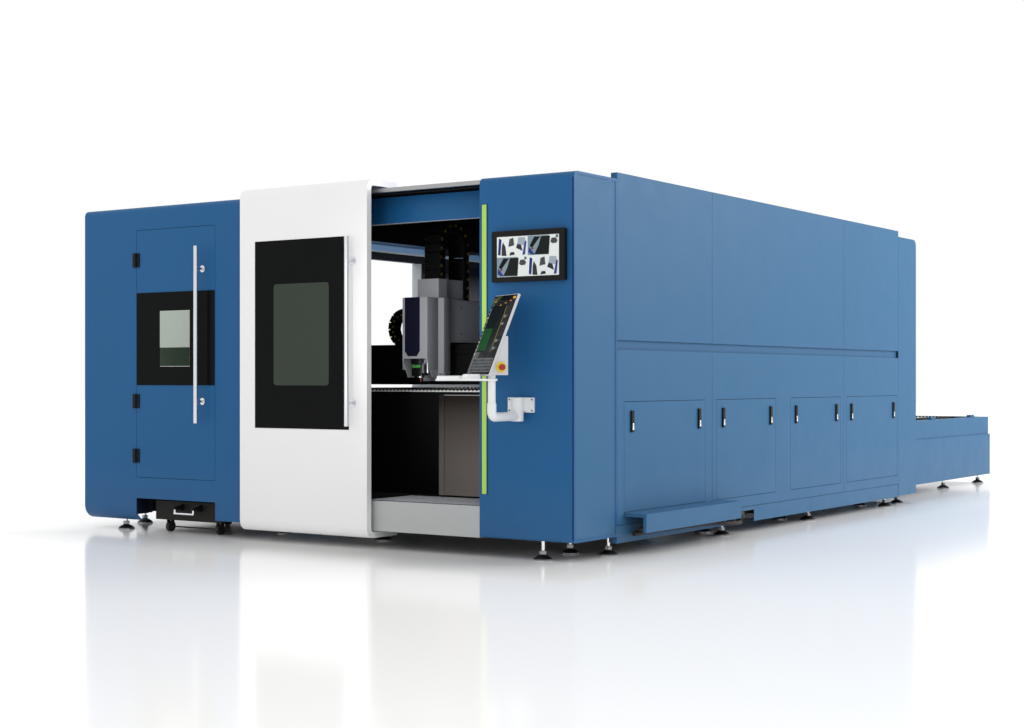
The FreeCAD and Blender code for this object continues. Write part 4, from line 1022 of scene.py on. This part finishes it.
# Pale blue rail: a painted highlight.
blocks("left_wall_rail", [(-4117, -4113, 262, 5205, 2246, 2300)], rail_painted_highlight, "machine", 1.0)
blocks("left_wall_trim", [(-4117, -4108, 262, 5205, 2231, 2245)], inner_light, "machine", 1.0)
blocks("left_wall_beam", [(-4117, -4110, 564, 5205, 2164, 2230)], frame_paint, "machine", 1.0)
blocks("window_post", [(-4222, -4116, 3934, 3938, 1012, 2164)], inner_light, "machine", 1.0)
blocks("wall_lining", [(-4117, -4113, 3939, 5210, 1000, 2163)], lining, "machine", 1.0)
bm = bmesh.new()
plate(bm, [(-2030, 300, 2096), (-1935, 300, 1985), (-1905, 300, 1985), (-1800, 300, 2096)], (0, 8, 0))
bmesh.ops.translate(bm, verts=bm.verts, vec=CORNER)
finished("header_gusset", bm, black_and_painted_shade, "machine")
blocks("bay_cheek", [(-3688, -3684.5, 3, 116, 122, 236)], bay_navy, "machine", 0.5)
print("doorway lined")

# %% Bed apron
x0, x1, y0, y1, z0, z1 = corner_box("bed_apron")
apron = blocks("apron_left", [(x0, -1380, y1 - 3, y1, z0, z1)], bed_black, "machine", 0.8)
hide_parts("bed_apron")
# The apron's right part darkens towards its top: painted shade.
blocks("apron_right", [(-1379, x1, y1 - 3, y1, z0, z1), (-1379, -1339, y0, y1 - 3, z0, z1)],
       apron_painted_shade, "machine", 0.8)
blocks("apron_lip", [(-1379, x1, y0 + 4, y1 - 3.2, z1 - 6, z1 - 1)], sill_paint, "machine", 1.0)
print("apron from", round(x0), "to", round(x1))

# %% [markdown]
# The step plate has the usual pattern of small raised bars, each at a right angle to its
# neighbours. Two sets of copies make it, one for each direction.

# %% Step plate pattern
bm = bmesh.new()
add_block(bm, (-13, -3.5, 0), (13, 3.5, 1.8), 1.2)
bar = pattern_shape("raised bar", bm)
# The bars are painted near white: a painted highlight.
for label, turn, odd in (("bars_left", 45, 0), ("bars_right", -45, 1)):
    spots = [
        at(-1540 + 26 * i, 30 + 26 * j, 314)
        for i in range(33) for j in range(17) if (i + j) % 2 == odd
    ]
    grown(
        "tread_" + label, scatter, spots,
        {"Shape": bar, "Turn": (0, 0, math.radians(turn)), "Finish": tread_bar_painted_highlight}, "machine",
    )

# %% Folded front edge of the step plate
x0, x1, y0, y1, z0, z1 = corner_box("tread_plate")
blocks("tread_fold", [(x0 + 2, x1 - 2, y0 - 1.2, y0 - 0.1, z1 - 13, z1)], tread_metal, "machine", 0.3)
front_bars = [at(x0 + 15 + 21 * i, y0 - 1.2, z1 - 7) for i in range(int((x1 - x0 - 20) // 21))]
bm = bmesh.new()
add_block(bm, (-6, -1.0, -3), (6, 0, 3), 0.5)
grown("tread_fold_bars", scatter, front_bars,
      {"Shape": pattern_shape("edge bar", bm), "Finish": tread_bar_painted_highlight}, "machine")
print("step plate", round(x1 - x0), "mm wide, front at", round(y0))

# %% [markdown]
# ## Feet, latches and the trolley's handle
# A levelling foot is a black cone in a bright dished ring, with a lock nut and a threaded
# stem above it. All feet are copies of the same shapes.

# %% Levelling feet
foot_spots = [(x, y, 125) for y in (522, 2070, 3540, 5150) for x in (-74, -4151)]
foot_spots += [(-262, 70, 120), (-3894, 98, 72)]
foot_spots += [(x, 470, 125) for x in (-2700, -1800, -320)]
foot_spots += [(x, y, 120) for y in (2200, 3490, 5120) for x in (-290, -2870)]
foot_spots += [(x, 5560, 86) for x in (-120, -4105)]
foot_spots += [(x, y, 96) for y in (5900, 7690, 8755) for x in (-440, -2720)]
bm = bmesh.new()
turned(bm, [(55, 8), (52, 14), (34, 26), (20, 33), (17, 35)], 32)
cone = pattern_shape("foot cone", bm)
foot_ring = bare_metal("foot ring steel", chart(150, 151, 154), 0.25, (300.0, 300.0, 300.0), 0.01)
bm = bmesh.new()
turned(bm, [(57, 0), (59, 1.5), (59, 8), (57, 9.5), (50, 9.5)], 32)
turned(bm, [(21, 34.5), (23, 36), (23, 56), (21, 58)], 6)
ring = pattern_shape("foot ring and nut", bm)
cones = grown("foot_cones", scatter, [at(x, y, 0) for x, y, reach in foot_spots],
              {"Shape": cone, "Finish": foot_rubber}, "machine")
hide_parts("levelling_feet")
grown("foot_rings", scatter, [at(x, y, 0) for x, y, reach in foot_spots],
      {"Shape": ring, "Finish": foot_ring}, "machine")
bm = bmesh.new()
for x, y, reach in foot_spots:
    turned(bm, [(10, 50), (10, reach)], 16, "z", (x, y, 0))
bmesh.ops.translate(bm, verts=bm.verts, vec=CORNER)
finished("foot_stems", bm, chrome, "machine")
print("feet:", len(foot_spots))

# %% Latches
bm = bmesh.new()
add_block(bm, (-1, -8.5, -21), (1.6, 8.5, 21), 1.2)
oval = pattern_shape("latch badge", bm)
panel_spans = ((586, 1679), (1847, 2801), (3058, 4015), (4135, 5250))
for number, (front, back) in enumerate(panel_spans, 1):
    for side, y in (("a", front + 95), ("b", back - 95)):
        latch = "latch_%d%s" % (number, side)
        grown(latch + "_lock", scatter, [at(13, y, 792)], {"Shape": oval, "Finish": chrome}, latch)

# %% Trolley handle, service door pane, light strip edges and seams
bm = bmesh.new()
for x in (-3308, -3128):
    turned(bm, [(7.4, 141), (7.4, 179)], 16, "z", (x, 10, 0))
turned(bm, [(7.4, -3315), (7.4, -3121)], 16, "x", (0, 10, 144))
bmesh.ops.translate(bm, verts=bm.verts, vec=CORNER)
finished("trolley_grip", bm, chrome, "trolley")
bm = bmesh.new()
for x in (-3308, -3128):
    turned(bm, [(25, 79.5), (24, 70), (14, 20), (12, -2), (8, -4)], 24, "y", (x, 0, 183))
bmesh.ops.translate(bm, verts=bm.verts, vec=CORNER)
finished("trolley_grip_mounts", bm, black_plastic, "trolley")
x0, x1, y0, y1, z0, z1 = corner_box("service_door_glass")
# Two flat fields cover the service door's pane: a dark lower one, painted shade, and a pale upper one, painted light.
pane_painted_shade = moulded("pane lower painted shade", chart(34, 50, 36), 0.1, 0.0, 0.1)
pane_painted_light = moulded("pane upper painted light", chart(168, 178, 168), 0.1, 0.0, 0.2)
split = z0 + 0.34 * (z1 - z0)
blocks("pane_film", [(x0 + 1, x1 - 1, y0 - 1.2, y0 - 0.2, z0 + 1, split)], pane_painted_shade, "service_door", 0.2)
blocks("pane_upper_film", [(x0 + 1, x1 - 1, y0 - 1.2, y0 - 0.2, split, z1 - 1)], pane_painted_light, "service_door", 0.2)
# Thin dark blue strips along the light strip's groove, the front corner and the side panel joints: painted shade in
# the gaps.
blocks("strip_edges", [(-666, -661, -3, 0.2, 382, 2159), (-626, -620, -3, 0.2, 382, 2159)],
       seam_painted_shade, "machine", 0.5)
blocks("corner_seam", [(-13, 0.4, -0.6, 0.6, 134, 2281)], seam_painted_shade, "machine", 0.2)
blocks("side_seams", [
    (-1.2, 0.3, y - 0.5, y + 3.5, low, high)
    for y in (500, 1780, 4076) for low, high in ((190, 1268), (1332, 2300))
], seam_painted_shade, "machine", 0.2)

# %% [markdown]
# ## Screens and keys
# The pictures on the screens are plain coloured fields. Each field is a thin tile whose
# colour is stored on its faces, and one material reads that colour for all of them.

# %% A picture made of tiles
picture_skin, tree, shader = blank("screen picture")
tint = tree.nodes.new("ShaderNodeAttribute")
tint.attribute_name = "tint"
glaze = place_group(tree, powder, {"Gloss": 0.14, "Peel": 0.0, "Tone": 0.02})
join_up(
    tree,
    (tint.outputs["Color"], glaze.inputs["Color"]),
    (glaze.outputs["Color"], shader.inputs["Base Color"]),
    (glaze.outputs["Roughness"], shader.inputs["Roughness"]),
    (glaze.outputs["Color"], shader.inputs["Emission Color"]),
)
shader.inputs["Emission Strength"].default_value = 0.12
shader.inputs["Specular IOR Level"].default_value = 0.1


def field(x0, x1, z0, z1):
    return [(x0, z0), (x1, z0), (x1, z1), (x0, z1)]


def picture(name, tiles, placing, body):
    """Tiles are (outline, colour, level): a higher level stands prouder."""
    bm = bmesh.new()
    layer = bm.loops.layers.float_color.new("tint")
    for outline, color, level in tiles:
        verts = plate(bm, [(x, 0.0, z) for x, z in outline], (0, -0.35 * level, 0))
        for corner in {loop for v in verts for loop in v.link_loops}:
            corner[layer] = color
    bmesh.ops.transform(bm, matrix=placing, verts=bm.verts)
    return finished(name, bm, picture_skin, body)


# %% Wall monitor
tiles = [(field(-530, -86, 1705, 1947), chart(214, 220, 218), 1)]
for column, row, busy in ((0, 1, True), (1, 1, False), (0, 0, False), (1, 0, True)):
    x, z = -530 + 223 * column, 1705 + 122 * row
    if busy:
        shapes = [
            ([(8, 12), (26, 8), (34, 104), (14, 112)], chart(36, 50, 112)),
            ([(34, 6), (70, 4), (62, 60), (44, 88), (36, 60)], chart(52, 52, 56)),
            ([(84, 58), (126, 66), (120, 112), (92, 104)], chart(66, 72, 72)),
            ([(140, 50), (186, 30), (176, 66), (150, 78)], chart(48, 50, 56)),
            ([(150, 74), (204, 60), (204, 110), (156, 112)], chart(150, 160, 172)),
            ([(186, 6), (204, 8), (214, 84), (204, 92)], chart(48, 64, 128)),
            ([(92, 6), (130, 10), (124, 26), (100, 24)], chart(40, 42, 46)),
        ]
    else:
        shapes = [
            (field(0, 150, 2, 118), chart(120, 140, 150)),
            ([(4, 20), (30, 4), (52, 4), (10, 52)], chart(42, 58, 120)),
            ([(48, 6), (150, 4), (158, 112), (96, 112), (78, 60)], chart(24, 28, 28)),
            ([(14, 58), (32, 46), (88, 110), (48, 112)], chart(18, 20, 22)),
            ([(30, 34), (42, 42), (36, 50), (24, 42)], chart(140, 44, 40)),
            ([(162, 76), (176, 66), (204, 68), (212, 84), (196, 100), (170, 98)], chart(70, 70, 74)),
            (field(200, 214, 100, 116), chart(84, 90, 96)),
        ]
    for level, (outline, color) in enumerate(shapes, 2):
        tiles.append(([(x + a, z + b) for a, b in outline], color, level))
picture("monitor_picture", tiles, Matrix.Translation(at(0, -30, 0)), "machine")

# %% Console screen
console_place = (
    Matrix.Translation(at(-361, -330, 0)) @ Matrix.Rotation(math.radians(-30), 4, "Z")
)
screen_place = (
    console_place @ Matrix.Translation((0, -0.046, 1.110)) @ Matrix.Rotation(math.radians(-22), 4, "X")
)
screen_body = bmesh.new()
add_block(screen_body, (-265, 0, 0), (55, 18, 520), 6.0)
bmesh.ops.transform(screen_body, matrix=screen_place, verts=screen_body.verts)
slab = finished("screen_body", screen_body, housing_paint, "console")
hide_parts("control_screen")
glass_front = bmesh.new()
add_block(glass_front, (-259, -1.4, 6), (49, 0.6, 514), 0.7)
bmesh.ops.transform(glass_front, matrix=screen_place, verts=glass_front.verts)
finished("screen_glass", glass_front, screen_black, "console")
dark, mid, pale = chart(22, 30, 32), chart(44, 50, 54), chart(150, 156, 160)
tiles = [
    (field(-236, -40, 150, 440), dark, 1), (field(-232, -120, 160, 300), chart(28, 74, 38), 2),
    (field(-238, -236, 150, 440), pale, 2), (field(-40, -37, 150, 440), chart(170, 160, 60), 2),
    (field(-30, 38, 250, 356), chart(40, 36, 42), 1), (field(-236, 38, 22, 110), chart(96, 100, 102), 1),
    (field(8, 38, 488, 502), chart(226, 176, 44), 1),
]
for i, color in enumerate((chart(170, 40, 40), chart(50, 150, 70), chart(150, 40, 44))):
    tiles.append((field(-246 + 16 * i, -238 + 16 * i, 488, 498), color, 1))
for i in range(12):
    tiles.append((field(-252, -243, 132 + 26 * i, 142 + 26 * i), pale if i % 3 else chart(220, 214, 200), 1))
for row in range(3):
    for column in range(9):
        shade = chart(196, 128, 60) if (row * 5 + column) % 7 == 3 else mid
        x, z = -228 + 29 * column, 446 + 13 * row
        tiles.append((field(x, x + 22, z, z + 8), shade, 1))
for row in range(5):
    for column in range(2):
        x, z = -28 + 35 * column, 368 - 48 * row - (60 if row > 1 else 0)
        if z > 118:
            tiles.append((field(x, x + 28, z, z + 16), mid if column else chart(120, 124, 128), 2))
for row in range(4):
    for column in range(7):
        x, z = -230 + 38 * column, 28 + 20 * row
        tiles.append((field(x, x + 32, z, z + 14), chart(60, 64, 68) if (row + column) % 3 else mid, 2))
picture("screen_picture", tiles, screen_place @ Matrix.Translation((0, -0.0015, 0)), "console")
print("screen tiles:", len(tiles))

# %% Keys and mouse wheel
bm = bmesh.new()
add_block(bm, (-7.5, -7.5, -2), (7.5, 7.5, 2), 1.5)
key = pattern_shape("key cap", bm)
key_spots = [
    console_place @ (Vector((-430 + 18.6 * i, -152 + 18.6 * j, 1107.5)) / 1000.0)
    for i in range(17) for j in range(6)
]
grown("keyboard_keys", scatter, key_spots,
      {"Shape": key, "Turn": (0, 0, math.radians(-30)), "Finish": grey_plastic}, "console")
bm = bmesh.new()
add_block(bm, (-57, -92, 1108), (-53, -72, 1119.5), 1.5)
bmesh.ops.transform(bm, matrix=console_place, verts=bm.verts)
finished("mouse_wheel", bm, black_plastic, "console")

# %% [markdown]
# ## The studio
# The floor is a large pale sheet with a soft sheen, so the machine stands in its own faint
# reflection. A white surround lights everything evenly, as in a product studio.

# %% Floor
floor_mesh = bpy.data.meshes.new("floor")
side = 60.0
floor_mesh.from_pydata(
    [(-side, -side, 0), (side, -side, 0), (side, side, 0), (-side, side, 0)], [], [(0, 1, 2, 3)]
)
floor = bpy.data.objects.new("floor", floor_mesh)
bpy.context.scene.collection.objects.link(floor)
floor_material, tree, shader = blank("studio floor")
shader.inputs["Base Color"].default_value = (0.955, 0.947, 0.935, 1.0)
shader.inputs["Roughness"].default_value = 0.12
shader.inputs["Specular IOR Level"].default_value = 0.08
# The floor's glow fades out over the machine's footprint, so the floor is darker under and around the machine: a
# painted shadow.
coords = tree.nodes.new("ShaderNodeTexCoord").outputs["Object"]
split = tree.nodes.new("ShaderNodeSeparateXYZ")
tree.links.new(coords, split.inputs["Vector"])
outside = []
for axis, half in (("X", cad_box[1][0]), ("Y", cad_box[1][1])):
    distance = math_node(tree, "ABSOLUTE", split.outputs[axis])
    outside.append(math_node(tree, "SUBTRACT", distance, float(half)))
edge = tree.nodes.new("ShaderNodeMapRange")
tree.links.new(math_node(tree, "MAXIMUM", outside[0], outside[1]), edge.inputs["Value"])
edge.inputs["From Min"].default_value = -0.25
edge.inputs["From Max"].default_value = 0.35
tree.links.new(edge.outputs["Result"], shader.inputs["Emission Color"])
shader.inputs["Emission Strength"].default_value = 0.14
floor_mesh.materials.append(floor_material)

# %% Light
world = bpy.data.worlds.new("studio")
world.use_nodes = True
world.node_tree.nodes["Background"].inputs["Color"].default_value = (1.0, 1.0, 1.0, 1.0)
world.node_tree.nodes["Background"].inputs["Strength"].default_value = 1.0
bpy.context.scene.world = world


def soft_light(name, place, aim, size, power):
    data = bpy.data.lights.new(name, "AREA")
    data.shape = "RECTANGLE"
    data.size, data.size_y = size
    data.energy = power
    lamp = bpy.data.objects.new(name, data)
    lamp.location = at(*place)
    direction = at(*aim) - at(*place)
    lamp.rotation_euler = direction.to_track_quat("-Z", "Y").to_euler()
    bpy.context.scene.collection.objects.link(lamp)
    return lamp


soft_light("side light", (7000, 9000, 5000), (0, 4000, 1200), (6.0, 4.0), 500.0)
doorway_light = soft_light("doorway light", (-500, -4200, 1500), (-1250, 500, 1450), (0.6, 0.6), 1.5)
doorway_light.data.spread = math.radians(22)
doorway_light.visible_camera = False
cabin_light = soft_light("cabin light", (-1300, 3000, 1900), (-3600, 4500, 1000), (1.0, 0.3), 30.0)
cabin_light.visible_camera = False

# %% Take the pattern shapes away
for shape in pattern_shapes:
    bpy.data.objects.remove(shape)
print("removed", len(pattern_shapes), "pattern shapes")
